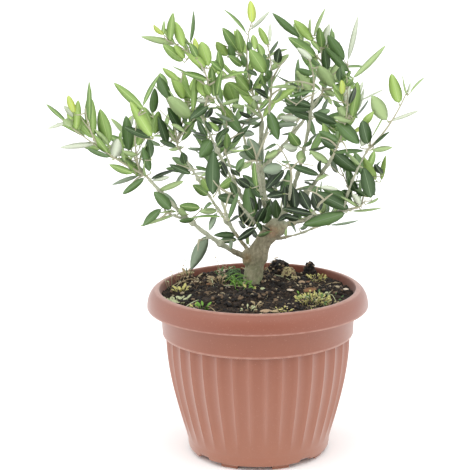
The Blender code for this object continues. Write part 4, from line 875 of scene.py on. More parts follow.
def soil_finish():
    """Potting soil: nearly black peat with brown fibres and crumbs."""
    finish = Finish("potting_soil", srgb(44, 34, 27), 0.95)
    cloud = finish.noise(260.0, 6.0, 0.65)
    body = finish.ramp(
        cloud,
        (0.34, srgb(14, 10, 8)),
        (0.52, srgb(38, 29, 22)),
        (0.68, srgb(74, 58, 42)),
    )
    bits = finish.ramp(finish.noise(620.0, 3.0), (0.63, 0.0), (0.7, 1.0))
    body = finish.blend(bits * 0.5, body, srgb(126, 104, 76))
    finish.feed("Base Color", body)
    grain = finish.noise(900.0, 4.0, 0.7)
    finish.relief(grain + finish.cells(420.0) * 0.8, 0.8, 0.0012)
    return finish.material


def plain(name, colour, roughness):
    return Finish(name, srgb(*colour), roughness).material


def plain_finishes():
    """The plain finishes of twigs, leaves, crumbs and weeds, by name."""
    rows = [("twig_bark", (170, 167, 142), 0.75), ("leaf_stalk", (156, 170, 108), 0.6), *LEAF_BACKS]
    rows += [(name, colour, 0.42) for name, colour in GREENS]
    rows += [(name, colour, 0.8) for name, colour in SOIL_COLOURS]
    return {row[0]: plain(*row) for row in rows}


# Making meshes

class Pieces:
    """Points, faces and finish slots of many small shapes that become one mesh."""

    def __init__(self):
        self.points = []
        self.faces = []
        self.slots = []

    def add(self, points, faces, slots):
        base = len(self.points)
        self.points.extend(tuple(point) for point in points)
        self.faces.extend(tuple(base + i for i in face) for face in faces)
        self.slots.extend([slots] * len(faces) if isinstance(slots, int) else slots)

    def build(self, name, finishes):
        mesh = bpy.data.meshes.new(name)
        points = [tuple(value * MM for value in point) for point in self.points]
        mesh.from_pydata(points, [], self.faces)
        for finish in finishes:
            mesh.materials.append(finish)
        mesh.polygons.foreach_set("material_index", self.slots)
        mesh.shade_smooth()
        mesh.update()
        thing = bpy.data.objects.new(name, mesh)
        bpy.context.scene.collection.objects.link(thing)
        return thing


def pick_only(thing):
    """Select this object alone and make it the active one."""
    bpy.ops.object.select_all(action="DESELECT")
    thing.select_set(True)
    bpy.context.view_layer.objects.active = thing


def level_ring_start(name, radius, height, points):
    """A circle primitive, open, in edit mode and all selected."""
    bpy.ops.object.select_all(action="DESELECT")
    bpy.ops.mesh.primitive_circle_add(
        vertices=points, radius=radius * MM, fill_type="NOTHING", location=(0, 0, height * MM)
    )
    thing = bpy.context.object
    thing.name = name
    thing.data.name = name
    bpy.ops.object.mode_set(mode="EDIT")
    bpy.ops.mesh.select_mode(type="EDGE")
    bpy.ops.mesh.select_all(action="SELECT")
    return thing


def grow_rings(rows):
    """Extrude the selected ring through rows of radius and height."""
    for (radius, height), (next_radius, next_height) in zip(rows, rows[1:]):
        rise = (0, 0, (next_height - height) * MM)
        bpy.ops.mesh.extrude_region_move(TRANSFORM_OT_translate={"value": rise})
        scale = next_radius / radius
        bpy.ops.transform.resize(value=(scale, scale, 1), center_override=(0, 0, next_height * MM))


def pick_open_edge(thing):
    """Select, in edit mode, the edges that have a face on one side only."""
    bpy.ops.mesh.select_mode(type="EDGE")
    bpy.ops.mesh.select_all(action="DESELECT")
    mesh = bmesh.from_edit_mesh(thing.data)
    for edge in mesh.edges:
        if edge.is_boundary:
            edge.select = True
    bmesh.update_edit_mesh(thing.data)


def rest_at_origin(thing):
    """Leave edit mode and move the object's place into its mesh."""
    bpy.ops.object.mode_set(mode="OBJECT")
    pick_only(thing)
    bpy.ops.object.transform_apply(location=True, rotation=True, scale=True)


def settle(thing):
    """Face the faces outwards and leave edit mode, with the object at the origin."""
    bpy.ops.mesh.select_all(action="SELECT")
    bpy.ops.mesh.normals_make_consistent(inside=False)
    rest_at_origin(thing)


# Pot

def body_radius(height):
    """Radius of the fluted wall's ridges at a height."""
    share = (height - FLUTE_FOOT_HEIGHT) / (FLUTE_TOP_HEIGHT - FLUTE_FOOT_HEIGHT)
    share = min(max(share, 0.0), 1.0)
    return FLUTE_FOOT_RADIUS + (FLUTE_TOP_RADIUS - FLUTE_FOOT_RADIUS) * math.sin(share * math.pi / 2)


def pot_rows():
    """Radius and height up the outside, over the lip and down the inside."""
    rows = [
        (BASE_EDGE_RADIUS - 0.5, FOOT_HEIGHT),
        (BASE_EDGE_RADIUS + 0.1, FOOT_HEIGHT + 0.5),
        (BASE_EDGE_RADIUS + 0.8, FOOT_HEIGHT + 4),
        (BASE_RADIUS + 0.3, BASE_TOP_HEIGHT),
        (BASE_RADIUS + 0.8, BASE_TOP_HEIGHT + 2.2),
    ]
    for i in range(FLUTE_STEPS + 1):
        height = FLUTE_FOOT_HEIGHT + (FLUTE_TOP_HEIGHT - FLUTE_FOOT_HEIGHT) * i / FLUTE_STEPS
        rows.append((body_radius(height), height))
    rows += [
        (BAND_FOOT_RADIUS - 1.0, BAND_FOOT_HEIGHT - 0.9),
        (BAND_FOOT_RADIUS - 0.2, BAND_FOOT_HEIGHT - 0.6),
        (BAND_FOOT_RADIUS + 0.15, BAND_FOOT_HEIGHT + 0.2),
        (BAND_FOOT_RADIUS + 0.1, BAND_FOOT_HEIGHT + 1.4),
        (BAND_TOP_RADIUS - 0.1, COLLAR_EDGE_HEIGHT - 1.2),
        (BAND_TOP_RADIUS + 0.4, COLLAR_EDGE_HEIGHT - 0.3),
        (BAND_TOP_RADIUS + 1.4, COLLAR_EDGE_HEIGHT),
        (COLLAR_RADIUS - 1.3, COLLAR_EDGE_HEIGHT - 0.1),
        (COLLAR_RADIUS - 0.3, COLLAR_EDGE_HEIGHT + 0.15),
        (COLLAR_RADIUS, COLLAR_EDGE_HEIGHT + COLLAR_EDGE_RISE),
    ]
    for i in range(1, COLLAR_STEPS):
        turn = math.pi / 2 * i / COLLAR_STEPS
        radius = LIP_RADIUS + (COLLAR_RADIUS - LIP_RADIUS) * math.cos(turn)
        rise = LIP_HEIGHT - COLLAR_EDGE_HEIGHT - COLLAR_EDGE_RISE
        rows.append((radius, COLLAR_EDGE_HEIGHT + COLLAR_EDGE_RISE + rise * math.sin(turn)))
    rows += [
        (LIP_RADIUS - 0.1, LIP_HEIGHT),
        (LIP_RADIUS - 0.8, LIP_HEIGHT - 0.2),
        (LIP_RADIUS - 1.3, LIP_HEIGHT - 0.9),
        (LIP_RADIUS - 1.7, LIP_HEIGHT - 3),
        (BAND_TOP_RADIUS - 2.4, COLLAR_EDGE_HEIGHT),
        (FLUTE_TOP_RADIUS - WALL, FLUTE_TOP_HEIGHT - 2.5),
        (body_radius(60) - WALL, 60),
        (BASE_RADIUS - WALL, 8),
    ]
    return rows


def notch_edge(thing):
    """Raise shallow drain notches in the bottom edge."""
    half = 180 / NOTCH_COUNT
    for vertex in thing.data.vertices:
        x, y, z = (value / MM for value in vertex.co)
        if math.hypot(x, y) < FOOT_REACH + 0.5 or z > FOOT_HEIGHT + 1:
            continue
        turn = (math.degrees(math.atan2(x, -y)) - NOTCH_TURN + half) % (2 * half) - half
        if abs(turn) < NOTCH_SPAN / 2:
            vertex.co.z += NOTCH_RISE * MM


def scallop(thing):
    """Press round flutes into the wall, with a sharp ridge between each two."""
    for vertex in thing.data.vertices:
        x, y, z = (value / MM for value in vertex.co)
        reach = math.hypot(x, y)
        if not FLUTE_FOOT_HEIGHT - 0.1 < z < FLUTE_TOP_HEIGHT + 0.1:
            continue
        if abs(reach - body_radius(z)) > 0.2:
            continue
        angle = math.atan2(x, -y) - RIDGE_TURN
        share = (angle * FLUTES / (2 * math.pi)) % 1.0
        fade = min(1.0, max(0.0, (z - FLUTE_FOOT_HEIGHT) / FLUTE_FADE)) ** FLUTE_FADE_POWER
        scale = 1 - FLUTE_DEPTH * fade * math.sin(math.pi * share) ** FLUTE_ROUNDNESS / reach
        vertex.co.x *= scale
        vertex.co.y *= scale


def lower_feet(thing):
    """Drop the eight feet and the flat disc to the level the pot stands on."""
    bpy.ops.object.mode_set(mode="EDIT")
    bpy.ops.mesh.select_mode(type="FACE")
    bpy.ops.mesh.select_all(action="DESELECT")
    mesh = bmesh.from_edit_mesh(thing.data)
    for face in mesh.faces:
        middle = face.calc_center_median() / MM
        reach = math.hypot(middle.x, middle.y)
        if abs(middle.z - FOOT_HEIGHT) > 0.05 or reach > FOOT_REACH:
            continue
        turn = math.degrees(math.atan2(middle.x, -middle.y) - RIDGE_TURN) % (360 / FOOT_COUNT)
        if reach < FOOT_DISC_RADIUS or FOOT_FIRST < turn < FOOT_FIRST + FOOT_SPAN:
            face.select = True
    bmesh.update_edit_mesh(thing.data)
    bpy.ops.mesh.extrude_region_move(TRANSFORM_OT_translate={"value": (0, 0, -FOOT_HEIGHT * MM)})
    bpy.ops.object.mode_set(mode="OBJECT")


def make_pot(finish):
    """The moulded pot: rings up the outside and down the inside, with feet and flutes."""
    pot = level_ring_start("fluted_pot", FOOT_DISC_RADIUS, FOOT_HEIGHT, POT_POINTS)
    floor_radii = (FOOT_DISC_RADIUS, FOOT_RING_RADIUS, FOOT_REACH)
    grow_rings([(radius, FOOT_HEIGHT) for radius in floor_radii] + pot_rows())
    bpy.ops.mesh.edge_face_add()
    pick_open_edge(pot)
    bpy.ops.mesh.edge_face_add()
    rest_at_origin(pot)
    pot.data.transform(Matrix.Rotation(RIDGE_TURN, 4, "Z"))
    lower_feet(pot)
    notch_edge(pot)
    scallop(pot)
    bpy.ops.object.mode_set(mode="EDIT")
    settle(pot)
    bpy.ops.object.shade_smooth_by_angle(angle=math.radians(POT_CREASE))
    pot.data.materials.append(finish)
    return pot


# Lines and limbs

def bowed_line(start, end, bow, steps):
    """Points from start to end, pushed sideways by bow at the middle."""
    points = []
    for i in range(steps + 1):
        t = i / steps
        points.append(start.lerp(end, t) + bow * (4 * t * (1 - t)))
    return points


def turned(ahead, side, angle):
    """The side direction turned about the ahead direction."""
    return side * math.cos(angle) + ahead.cross(side) * math.sin(angle)


def line_frames(line, roll=0.0):
    """At each point of a line, its direction and a side direction that never twists."""
    frames = []
    side = None
    for i in range(len(line)):
        ahead = (line[min(i + 1, len(line) - 1)] - line[max(i - 1, 0)]).normalized()
        if side is None:
            side = turned(ahead, ahead.orthogonal().normalized(), roll)
        side = (side - ahead * side.dot(ahead)).normalized()
        frames.append((ahead, side))
    return frames


def along(line, frames, share):
    """The point, direction and side direction at a share of the way along a line."""
    place = share * (len(line) - 1)
    before = min(int(place), len(line) - 2)
    point = line[before].lerp(line[before + 1], place - before)
    ahead = (line[before + 1] - line[before]).normalized()
    side = frames[before][1].lerp(frames[before + 1][1], place - before)
    return point, ahead, (side - ahead * side.dot(ahead)).normalized()


def line_length(line):
    return sum((b - a).length for a, b in zip(line, line[1:]))


def add_tube(pieces, line, radii, sides, slot, roll=0.0):
    """Add a closed tube along a line."""
    points = []
    for point, radius, (ahead, side) in zip(line, radii, line_frames(line, roll)):
        for k in range(sides):
            points.append(point + turned(ahead, side, 2 * math.pi * (k + 0.5) / sides) * radius)
    faces = []
    for ring in range(len(line) - 1):
        base = ring * sides
        for k in range(sides):
            after = (k + 1) % sides
            faces.append((base + k, base + after, base + sides + after, base + sides + k))
    last = (len(line) - 1) * sides
    faces.append(tuple(reversed(range(sides))))
    faces.append(tuple(range(last, last + sides)))
    pieces.add(points, faces, slot)


def trunk_radius(t):
    """Radius of the trunk at a share of its way up, with its flare, burl and fork."""
    flare = TRUNK_FLARE * math.exp(-t / TRUNK_FLARE_REACH)
    burl = TRUNK_BURL * math.exp(-((t - TRUNK_BURL_PLACE) / TRUNK_BURL_REACH) ** 2)
    swell = TRUNK_FORK_SWELL * math.exp(-((1 - t) / TRUNK_FORK_REACH) ** 2)
    return TRUNK_RADIUS + flare + burl + swell


def plan_limbs():
    """The line and the radii of the trunk and of every bough, by name."""
    limbs = {}
    line = bowed_line(Vector(TRUNK_FOOT), Vector(TRUNK_TOP), Vector(TRUNK_BOW), TRUNK_RINGS)
    radii = [trunk_radius(i / TRUNK_RINGS) for i in range(TRUNK_RINGS + 1)]
    limbs["trunk"] = (line, radii)
    for name, parent, share, tip, bow, root_radius, tip_radius in BOUGHS:
        parent_line = limbs[parent][0]
        root = along(parent_line, line_frames(parent_line), share)[0]
        line = bowed_line(root, Vector(tip), Vector(bow), BOUGH_RINGS)
        shares = [i / BOUGH_RINGS for i in range(BOUGH_RINGS + 1)]
        radii = [root_radius + (tip_radius - root_radius) * share for share in shares]
        limbs[name] = (line, radii)
    return limbs


def rough_up(thing, size, depth):
    """Push the surface in and out by seeded noise, as bark swells and dents."""
    mesh = thing.data
    count = len(mesh.vertices)
    places = np.empty(count * 3)
    normals = np.empty(count * 3)
    mesh.vertices.foreach_get("co", places)
    mesh.vertex_normals.foreach_get("vector", normals)
    spots = places.reshape(-1, 3)
    swell = [noise.fractal(Vector(spot) / (size * MM), 0.8, 2.1, 4) for spot in spots]
    places += normals * np.repeat(swell, 3) * (depth * MM)
    mesh.vertices.foreach_set("co", places)
    mesh.update()


def make_bark(limbs, finish):
    """Trunk and boughs as one skin that flows through every fork."""
    pieces = Pieces()
    for line, radii in limbs.values():
        end = line[-1] + (line[-1] - line[-2]).normalized() * (radii[-1] * 0.5)
        eased = [radius - BARK_EASE for radius in radii]
        add_tube(pieces, line + [end], eased + [eased[-1] * 0.6], LIMB_SIDES, 0)
    for name, share, step, radius in KNOTS:
        line = limbs[name][0]
        point, ahead, _ = along(line, line_frames(line), share)
        turns = [math.pi * i / 8 for i in range(1, 8)]
        ball = [point + Vector(step) - ahead * (radius * 1.25 * math.cos(turn)) for turn in turns]
        add_tube(pieces, ball, [radius * math.sin(turn) for turn in turns], LIMB_SIDES, 0)
    bark = pieces.build("bark", [finish])
    pick_only(bark)
    bark.data.remesh_voxel_size = BARK_VOXEL * MM
    bpy.ops.object.voxel_remesh()
    modifier = bark.modifiers.new("ease_forks", "SMOOTH")
    modifier.factor = 0.5
    modifier.iterations = 4
    bpy.ops.object.modifier_apply(modifier=modifier.name)
    for size, depth in BARK_SWELLS:
        rough_up(bark, size, depth)
    bpy.ops.object.shade_smooth()
    return bark


# Shoots and leaves

class Lines:
    """Many short straight stretches, each with a radius, for measuring how far points are."""

    def __init__(self):
        self.starts = []
        self.ends = []
        self.radii = []

    def add(self, line, radii):
        for i in range(len(line) - 1):
            self.starts.append(tuple(line[i]))
            self.ends.append(tuple(line[i + 1]))
            self.radii.append(max(radii[i], radii[i + 1]))

    def gap(self, points):
        """For each point, its distance to the nearest stretch's surface."""
        p = np.array([tuple(point) for point in points])[:, None, :]
        a = np.array(self.starts)[None, :, :]
        d = np.array(self.ends)[None, :, :] - a
        t = np.clip(((p - a) * d).sum(2) / (d * d).sum(2), 0, 1)
        gaps = np.linalg.norm(p - a - d * t[:, :, None], axis=2) - np.array(self.radii)[None, :]
        return gaps.min(axis=1)


def plan_shoots(limbs, limb_lines):
    """The stem and side shoots of every mass, as lists of (line, root radius, roll)."""
    plan = {}
    for name, bough, tip, bow, sides, seed, _ in MASSES:
        rng = random.Random(seed)
        limb_line = limbs[bough][0]
        ahead = (limb_line[-1] - limb_line[-2]).normalized()
        start = limb_line[-1] - ahead * 0.5
        bend_start = limb_line[-1] + ahead * STEM_STRAIGHT
        stem = [start] + bowed_line(bend_start, Vector(tip), Vector(bow), STEM_STEPS)
        shoots = [(stem, STEM_RADIUS, rng.uniform(0, math.pi))]
        for share, side_tip in sides:
            root, stem_ahead, _ = along(stem[1:], line_frames(stem[1:]), share)
            reach = Vector(side_tip) - root
            bend = stem_ahead * (reach.length * SHOOT_BEND)
            line = bowed_line(root, Vector(side_tip), bend, SHOOT_STEPS)
            if limb_lines.gap(line[2:]).min() > LIMB_MARGIN + SHOOT_RADIUS:
                shoots.append((line, SHOOT_RADIUS, rng.uniform(0, math.pi)))
        plan[name] = shoots
    return plan


def add_branchlets(shoots, own, others, crown, growth, rng):
    """Short seeded branchlets along a mass's shoots, each kept only where it has room."""
    first, pitch, length, clearance, radius = growth
    branchlets = []
    for line, _, roll in shoots:
        frames = line_frames(line, roll)
        whole = line_length(line)
        place = first + pitch * rng.uniform(0, 0.5)
        while place < whole * 0.85:
            root, ahead, side = along(line, frames, place / whole)
            outward = turned(ahead, side, rng.choice((0, 1, 2, 3)) * math.pi / 2)
            away = (ahead + outward + UP * 0.25).normalized()
            reach = length * rng.uniform(0.75, 1.2)
            tip = root + away * reach
            twig = bowed_line(root, tip, ahead * -0.06 * reach, 4)
            outer = twig[2:] + [tip + away * clearance]
            crowd = Lines()
            for other, _, _ in shoots + branchlets:
                crowd.add(other, [0.0] * len(other))
            clear = crown.limb_lines.gap(outer).min() > LIMB_MARGIN + radius
            clear = clear and in_view(twig[3:]) and not crown.hides(twig[2:])
            inside = (others.gap(outer) - own.gap(outer)).min() > SPACE_MARGIN + radius
            if clear and inside and crowd.gap(outer).min() > clearance:
                branchlets.append((twig, radius, rng.uniform(0, math.pi)))
            place += pitch * rng.uniform(0.8, 1.2)
    return branchlets


def leaf_corners(root, ahead, face, length, width):
    """Six corners that stand for a leaf when its room is tested."""
    side = ahead.cross(face).normalized()
    points = [root, root + ahead * length]
    for share, spread in ((0.3, 0.5), (0.68, 0.45)):
        middle = root + ahead * (length * share) + face * LEAF_DEPTH
        points.append(middle + side * (width * spread))
        points.append(middle - side * (width * spread))
    return points


def leaf_frame(shoot_ahead, outward, open_angle, roll):
    """Direction and upper-face direction of a leaf that leaves a shoot outward."""
    ahead = shoot_ahead * math.cos(open_angle) + outward * math.sin(open_angle)
    ahead = (ahead + UP * 0.12).normalized()
    face = shoot_ahead * 0.5 + UP * 0.5 + LIGHT_SIDE
    face = face - ahead * face.dot(ahead)
    face = face.normalized()
    face = face * math.cos(roll) + ahead.cross(face) * math.sin(roll)
    return ahead, face


# What the camera sees

def camera_turn(size):
    """The camera's tilt and roll as a square matrix of a size."""
    tilt = Matrix.Rotation(math.radians(90 - CAMERA_PITCH), size, "X")
    return tilt @ Matrix.Rotation(math.radians(-CAMERA_ROLL), size, "Z")


def photo_place(across, down):
    """X and z, in the plane through the pot's middle, of a pixel of the photograph."""
    middle = PHOTO_SIZE / 2
    focal = CAMERA_LENS / SENSOR * PHOTO_SIZE
    ray = camera_turn(3) @ Vector((across - middle, middle - down, -focal))
    eye = Vector(CAMERA_PLACE)
    spot = eye + ray * (-eye.y / ray.y)
    return (spot.x, spot.z)


# The readings from the photograph, moved to that plane
SEEN_ROWS = [
    (*photo_place(*row[0:2]), *photo_place(*row[2:4]), *row[4:]) for row in SEEN_LEAVES
]
OPENINGS = np.array([(*photo_place(across, down), radius) for across, down, radius in SKY])
CROWN_EDGE = np.array([photo_place(across, down) for across, down in OUTLINE])


def seen_at(x, z, y):
    """The point at depth y that the camera sees at x and z of the plane through the pot."""
    eye = Vector(CAMERA_PLACE)
    return eye + (Vector((x, 0, z)) - eye) * ((y - eye.y) / (0 - eye.y))


def seen_places(points):
    """Where the camera sees points, as x and z in the plane through the pot's middle."""
    eye = np.array(CAMERA_PLACE)
    spots = np.array([tuple(point) for point in points])
    reach = (0 - eye[1]) / (spots[:, 1] - eye[1])
    return (eye + (spots - eye) * reach[:, None])[:, (0, 2)]


def inside_outline(places):
    """For each place, whether it lies inside the crown's outline."""
    corners = CROWN_EDGE
    ends = np.roll(corners, -1, axis=0)
    x = places[:, 0:1]
    z = places[:, 1:2]
    spans = (corners[:, 1] > z) != (ends[:, 1] > z)
    rise = ends[:, 1] - corners[:, 1]
    slope = (ends[:, 0] - corners[:, 0]) / np.where(rise == 0, 1, rise)
    crossings = spans & (x < corners[:, 0] + slope * (z - corners[:, 1]))
    return crossings.sum(axis=1) % 2 == 1


def in_view(points):
    """Whether points stay inside the outline and out of the openings, seen from the front."""
    places = seen_places(points)
    away = np.linalg.norm(places[:, None, :] - OPENINGS[None, :, :2], axis=2) - OPENINGS[:, 2]
    return away.min() > -SKY_SLACK and inside_outline(places).all()


# Leaves and the twigs that carry them


class Crown:
    """All leaves placed so far, with the tests that keep the next one free."""

    def __init__(self, limb_lines, low, high):
        self.limb_lines = limb_lines
        self.low = low
        self.high = high
        self.shown = []
        self.leaves = []
        self.trees = []
        self.middles = []
        self.stalks = []
        self.seen = 0

    def show(self, points, reach):
        """Keep later leaves and twigs from standing in front of these points."""
        for point, (x, z) in zip(points, seen_places(points)):
            self.shown.append((x, z, point[1], reach))

    def hides(self, points):
        """Whether any of the points stands in front of what has to show."""
        shown = np.array(self.shown)
        places = seen_places(points)
        away = np.linalg.norm(places[:, None, :] - shown[None, :, :2], axis=2)
        nearer = np.array([point[1] for point in points])[:, None] < shown[:, 2]
        return (nearer & (away < shown[:, 3])).any()

    def has_room(self, points, own, others, twigs):
        """Whether a leaf stays above the pot, in the box, in view and in its own mass's space."""
        root, tip = points[:2]
        samples = points[1:] + [root.lerp(tip, share) for share in (0.2, 0.5, 0.8)]
        if min(sample.z for sample in samples) < LEAF_FLOOR:
            return False
        spots = np.array([tuple(sample) for sample in samples])
        if (spots < self.low).any() or (spots > self.high).any():
            return False
        if not in_view(samples) or self.hides(samples):
            return False
        if self.limb_lines.gap(samples).min() < LIMB_MARGIN:
            return False
        middle = [root.lerp(tip, share) for share in (0.25, 0.4, 0.55, 0.7, 0.85)]
        if twigs.gap(points[1:] + middle).min() < TWIG_MARGIN:
            return False
        return (others.gap(samples) - own.gap(samples)).min() > SPACE_MARGIN

    def crosses(self, tree, middle):
        """Whether a leaf cuts one that is there, among those near enough to reach it."""
        if not self.middles:
            return False
        away = np.linalg.norm(np.array(self.middles) - np.array(tuple(middle)), axis=1)
        near = np.nonzero(away < LEAF_NEIGHBOURHOOD)[0]
        return any(tree.overlap(self.trees[i]) for i in near)

    def try_leaf(self, start, shape, own, others, twigs, tone):
        """Place a leaf with its petiole from a twig's line, if it has room."""
        ahead, face, length, width = shape
        root = start + ahead * PETIOLE
        points = leaf_corners(root, ahead, face, length, width)
        return self.has_room(points, own, others, twigs) and self.keep(start, points, shape, tone)

    def keep(self, start, points, shape, tone):
        """Add a leaf unless it crosses one that is there."""
        tree = BVHTree.FromPolygons(points, LEAF_FACES)
        middle = points[0].lerp(points[1], 0.5)
        if self.crosses(tree, middle):
            return False
        self.leaves.append((start, *shape, tone))
        self.trees.append(tree)
        self.middles.append(tuple(middle))
        return True


def grow_leaves(crown, shoots, own, others, pitch, youth_and_light, rng):
    """Pairs of leaves along a mass's shoots, each kept only where it has room."""
    twigs = Lines()
    for line, radius, _ in shoots:
        twigs.add(line, [radius] * len(line))
    for line, _, roll in shoots:
        frames = line_frames(line, roll)
        length = line_length(line)
        # The spray's green: its mass's tone and, most of all, the nearest seen leaves' tones, so
        # painted light and shade as well as age.
        spray = youth_and_light * 0.25 + near_tone(line[-1]) * 0.75 + rng.uniform(-0.07, 0.07)
        place = FIRST_NODE
        turn = 0.0
        while place < length - LAST_NODE - pitch / 3:
            point, shoot_ahead, side = along(line, frames, place / length)
            young = (place / length) ** 3
            for half in (0, math.pi):
                for _ in range(LEAF_TRIES):
                    swing = rng.uniform(-LEAF_SWING, LEAF_SWING)
                    outward = turned(shoot_ahead, side, turn + half + swing)
                    open_angle = math.radians(rng.uniform(*LEAF_OPENING) - 24 * young)
                    size = rng.uniform(*LEAF_SIZES) * (1 - 0.3 * young)
                    leaf_roll = rng.uniform(-LEAF_ROLL, LEAF_ROLL)
                    ahead, face = leaf_frame(shoot_ahead, outward, open_angle, leaf_roll)
                    width = LEAF_WIDTH * (0.35 + 0.65 * size) * rng.uniform(0.82, 1.15)
                    shape = (ahead, face, LEAF_LENGTH * size, width)
                    tone = spray + 0.1 * young + rng.uniform(-0.1, 0.1)
                    if crown.try_leaf(point, shape, own, others, twigs, tone):
                        break
            turn += math.pi / 2
            place += pitch * rng.uniform(0.85, 1.15) * (1 - 0.35 * young)
        point, shoot_ahead, side = along(line, frames, 1 - LAST_NODE / length)
        for half in (0, math.pi):
            outward = turned(shoot_ahead, side, turn + half)
            size = rng.uniform(*END_LEAF_SIZES)
            leaf_roll = rng.uniform(-END_LEAF_ROLL, END_LEAF_ROLL)
            open_angle = math.radians(END_LEAF_OPENING)
            ahead, face = leaf_frame(shoot_ahead, outward, open_angle, leaf_roll)
            shape = (ahead, face, LEAF_LENGTH * size, LEAF_WIDTH * size)
            crown.try_leaf(point, shape, own, others, twigs, spray + 0.16)


def show_boughs(crown, limbs):
    """Keep the bare stretches of the boughs free from the front."""
    for name, first, last in BARE_STRETCHES:
        line, radii = limbs[name]
        frames = line_frames(line)
        steps = max(2, int(line_length(line) * (last - first) / BARE_PITCH))
        for i in range(steps + 1):
            share = first + (last - first) * i / steps
            point = along(line, frames, share)[0]
            crown.show([point], radii[0] + (radii[-1] - radii[0]) * share + BARE_MARGIN)


def near_tone(point):
    """How light the four seen leaves nearest to a point look from the front, as a share: their age
    together with their painted light and shade.
    """
    place = seen_places([point])[0]
    rows = np.array(SEEN_ROWS)
    middles = (rows[:, 0:2] + rows[:, 2:4]) / 2
    away = np.linalg.norm(middles - place, axis=1)
    nearest = np.argsort(away)[:4]
    weights = 1 / (away[nearest] + 4)
    return float((rows[nearest, 5] * weights).sum() / weights.sum() + 0.5) / len(GREENS)


def hang_seen_leaves(crown, lines):
    """The leaves that stand out from the front, each on a short stalk from the nearest shoot."""
    rng = random.Random(5)
    spots = []
    for line in lines:
        for a, b in zip(line, line[1:]):
            spots += [a, a.lerp(b, 0.5)]
    places = seen_places(spots)
    depths = np.array([spot.y for spot in spots])
    for root_x, root_z, tip_x, tip_z, width, tone, side in SEEN_ROWS:
        away = np.linalg.norm(places - np.array((root_x, root_z)), axis=1)
        shoot = spots[int(np.argmin(away + depths * 0.05))]
        places_seen = ((root_x, root_z), (tip_x, tip_z))
        for step in DEPTH_STEPS:
            if hang_leaf(crown, shoot, step, places_seen, (width, tone, side), rng):
                break
    crown.seen = len(crown.leaves)


def hang_leaf(crown, shoot, step, places_seen, looks, rng):
    """One leaf that shows its root, tip and side as given, at the shoot's depth and a step."""
    root_place, tip_place = places_seen
    width, tone, side = looks
    depth = shoot.y + step
    root = seen_at(*root_place, depth)
    flat = (seen_at(*tip_place, depth) - root).length
    tilt = math.sqrt(max(0.0, LEAF_LENGTH ** 2 - flat ** 2)) * rng.uniform(0.3, 0.6)
    tilt = min(tilt, MOST_TILT) * rng.choice((-1, -1, 1))
    tip = seen_at(*tip_place, depth + tilt)
    ahead = (tip - root).normalized()
    toward = (Vector(CAMERA_PLACE) - root).normalized()
    toward = (toward - ahead * toward.dot(ahead)).normalized()
    full = width * 1.05
    if side != PALE_SIDE:
        full = max(full, LEAF_WIDTH * 0.8)
    turn = math.acos(min(1.0, width / full)) * rng.choice((-1, 1))
    face = toward * math.cos(turn) + ahead.cross(toward) * math.sin(turn)
    if side < 0:
        face = -face
    length = (tip - root).length
    points = leaf_corners(root, ahead, face, length, full)
    if crown.limb_lines.gap(points[1:]).min() < TWIG_MARGIN:
        return False
    start = root - ahead * PETIOLE
    bright = (tone + 0.5) / len(GREENS)
    if side == PALE_SIDE:
        bright += PALE_STEP
    if not crown.keep(start, points, (ahead, face, length, full), bright):
        return False
    crown.show([root.lerp(tip, share) for share in (0.1, 0.3, 0.5, 0.7, 0.9)], width * 0.42)
    if (start - shoot).length > 1:
        middle = shoot.lerp(start, 0.5) + UP * (-0.06 * (start - shoot).length)
        crown.stalks.append([shoot, middle, start])
    return True


def add_leaf(pieces, leaf, slots, rng):
    """Add one leaf: upper face, pale midrib and silvery underside, folded and arched."""
    start, ahead, face, length, width, _ = leaf
    root = start + ahead * PETIOLE
    side = ahead.cross(face).normalized()
    fold = rng.uniform(*BLADE_FOLD)
    arch = rng.uniform(*BLADE_ARCH)
    twist = rng.uniform(*BLADE_TWIST)
    lean = rng.uniform(*BLADE_LEAN)
    blunt = rng.uniform(*BLADE_BLUNTNESS)
    points = []
    for t in BLADE_STATIONS:
        line = root + ahead * (length * t)
        line = line - face * (arch * length * t * t) + side * (lean * length * t * t)
        if t in (0, 1):
            points.append(line)
            continue
        half = width / 2 * math.sin(math.pi * t ** 0.88) ** blunt
        turn = twist * t
        across = side * math.cos(turn) + face * math.sin(turn)
        above = face * math.cos(turn) - side * math.sin(turn)
        rib = min(RIB_HALF_WIDTH, half * 0.4) * (1.15 - 0.6 * t)
        rim = above * (half * fold)
        thick = above * LEAF_THICKNESS
        points += [
            line + across * half + rim,
            line + across * rib + thick * 0.3,
            line - across * rib + thick * 0.3,
            line - across * half + rim,
            line - thick * 0.9,
        ]
    faces, marks = blade_faces(slots)
    pieces.add(points, faces, marks)


def blade_faces(slots):
    """Faces and finish slots of a leaf: a fan at the root, bands between and a fan at the tip."""
    upper, rib, under = slots
    order = ((0, 1, upper), (1, 2, rib), (2, 3, upper), (3, 4, under), (4, 0, under))
    bands = len(BLADE_STATIONS) - 3
    tip = 1 + (bands + 1) * BLADE_CORNERS
    faces = [(0, 1 + b, 1 + a) for a, b, _ in order]
    for band in range(bands):
        base = 1 + band * BLADE_CORNERS
        after = base + BLADE_CORNERS
        faces += [(base + a, base + b, after + b, after + a) for a, b, _ in order]
    base = 1 + bands * BLADE_CORNERS
    faces += [(base + a, base + b, tip) for a, b, _ in order]
    return faces, [mark for _, _, mark in order] * (bands + 2)


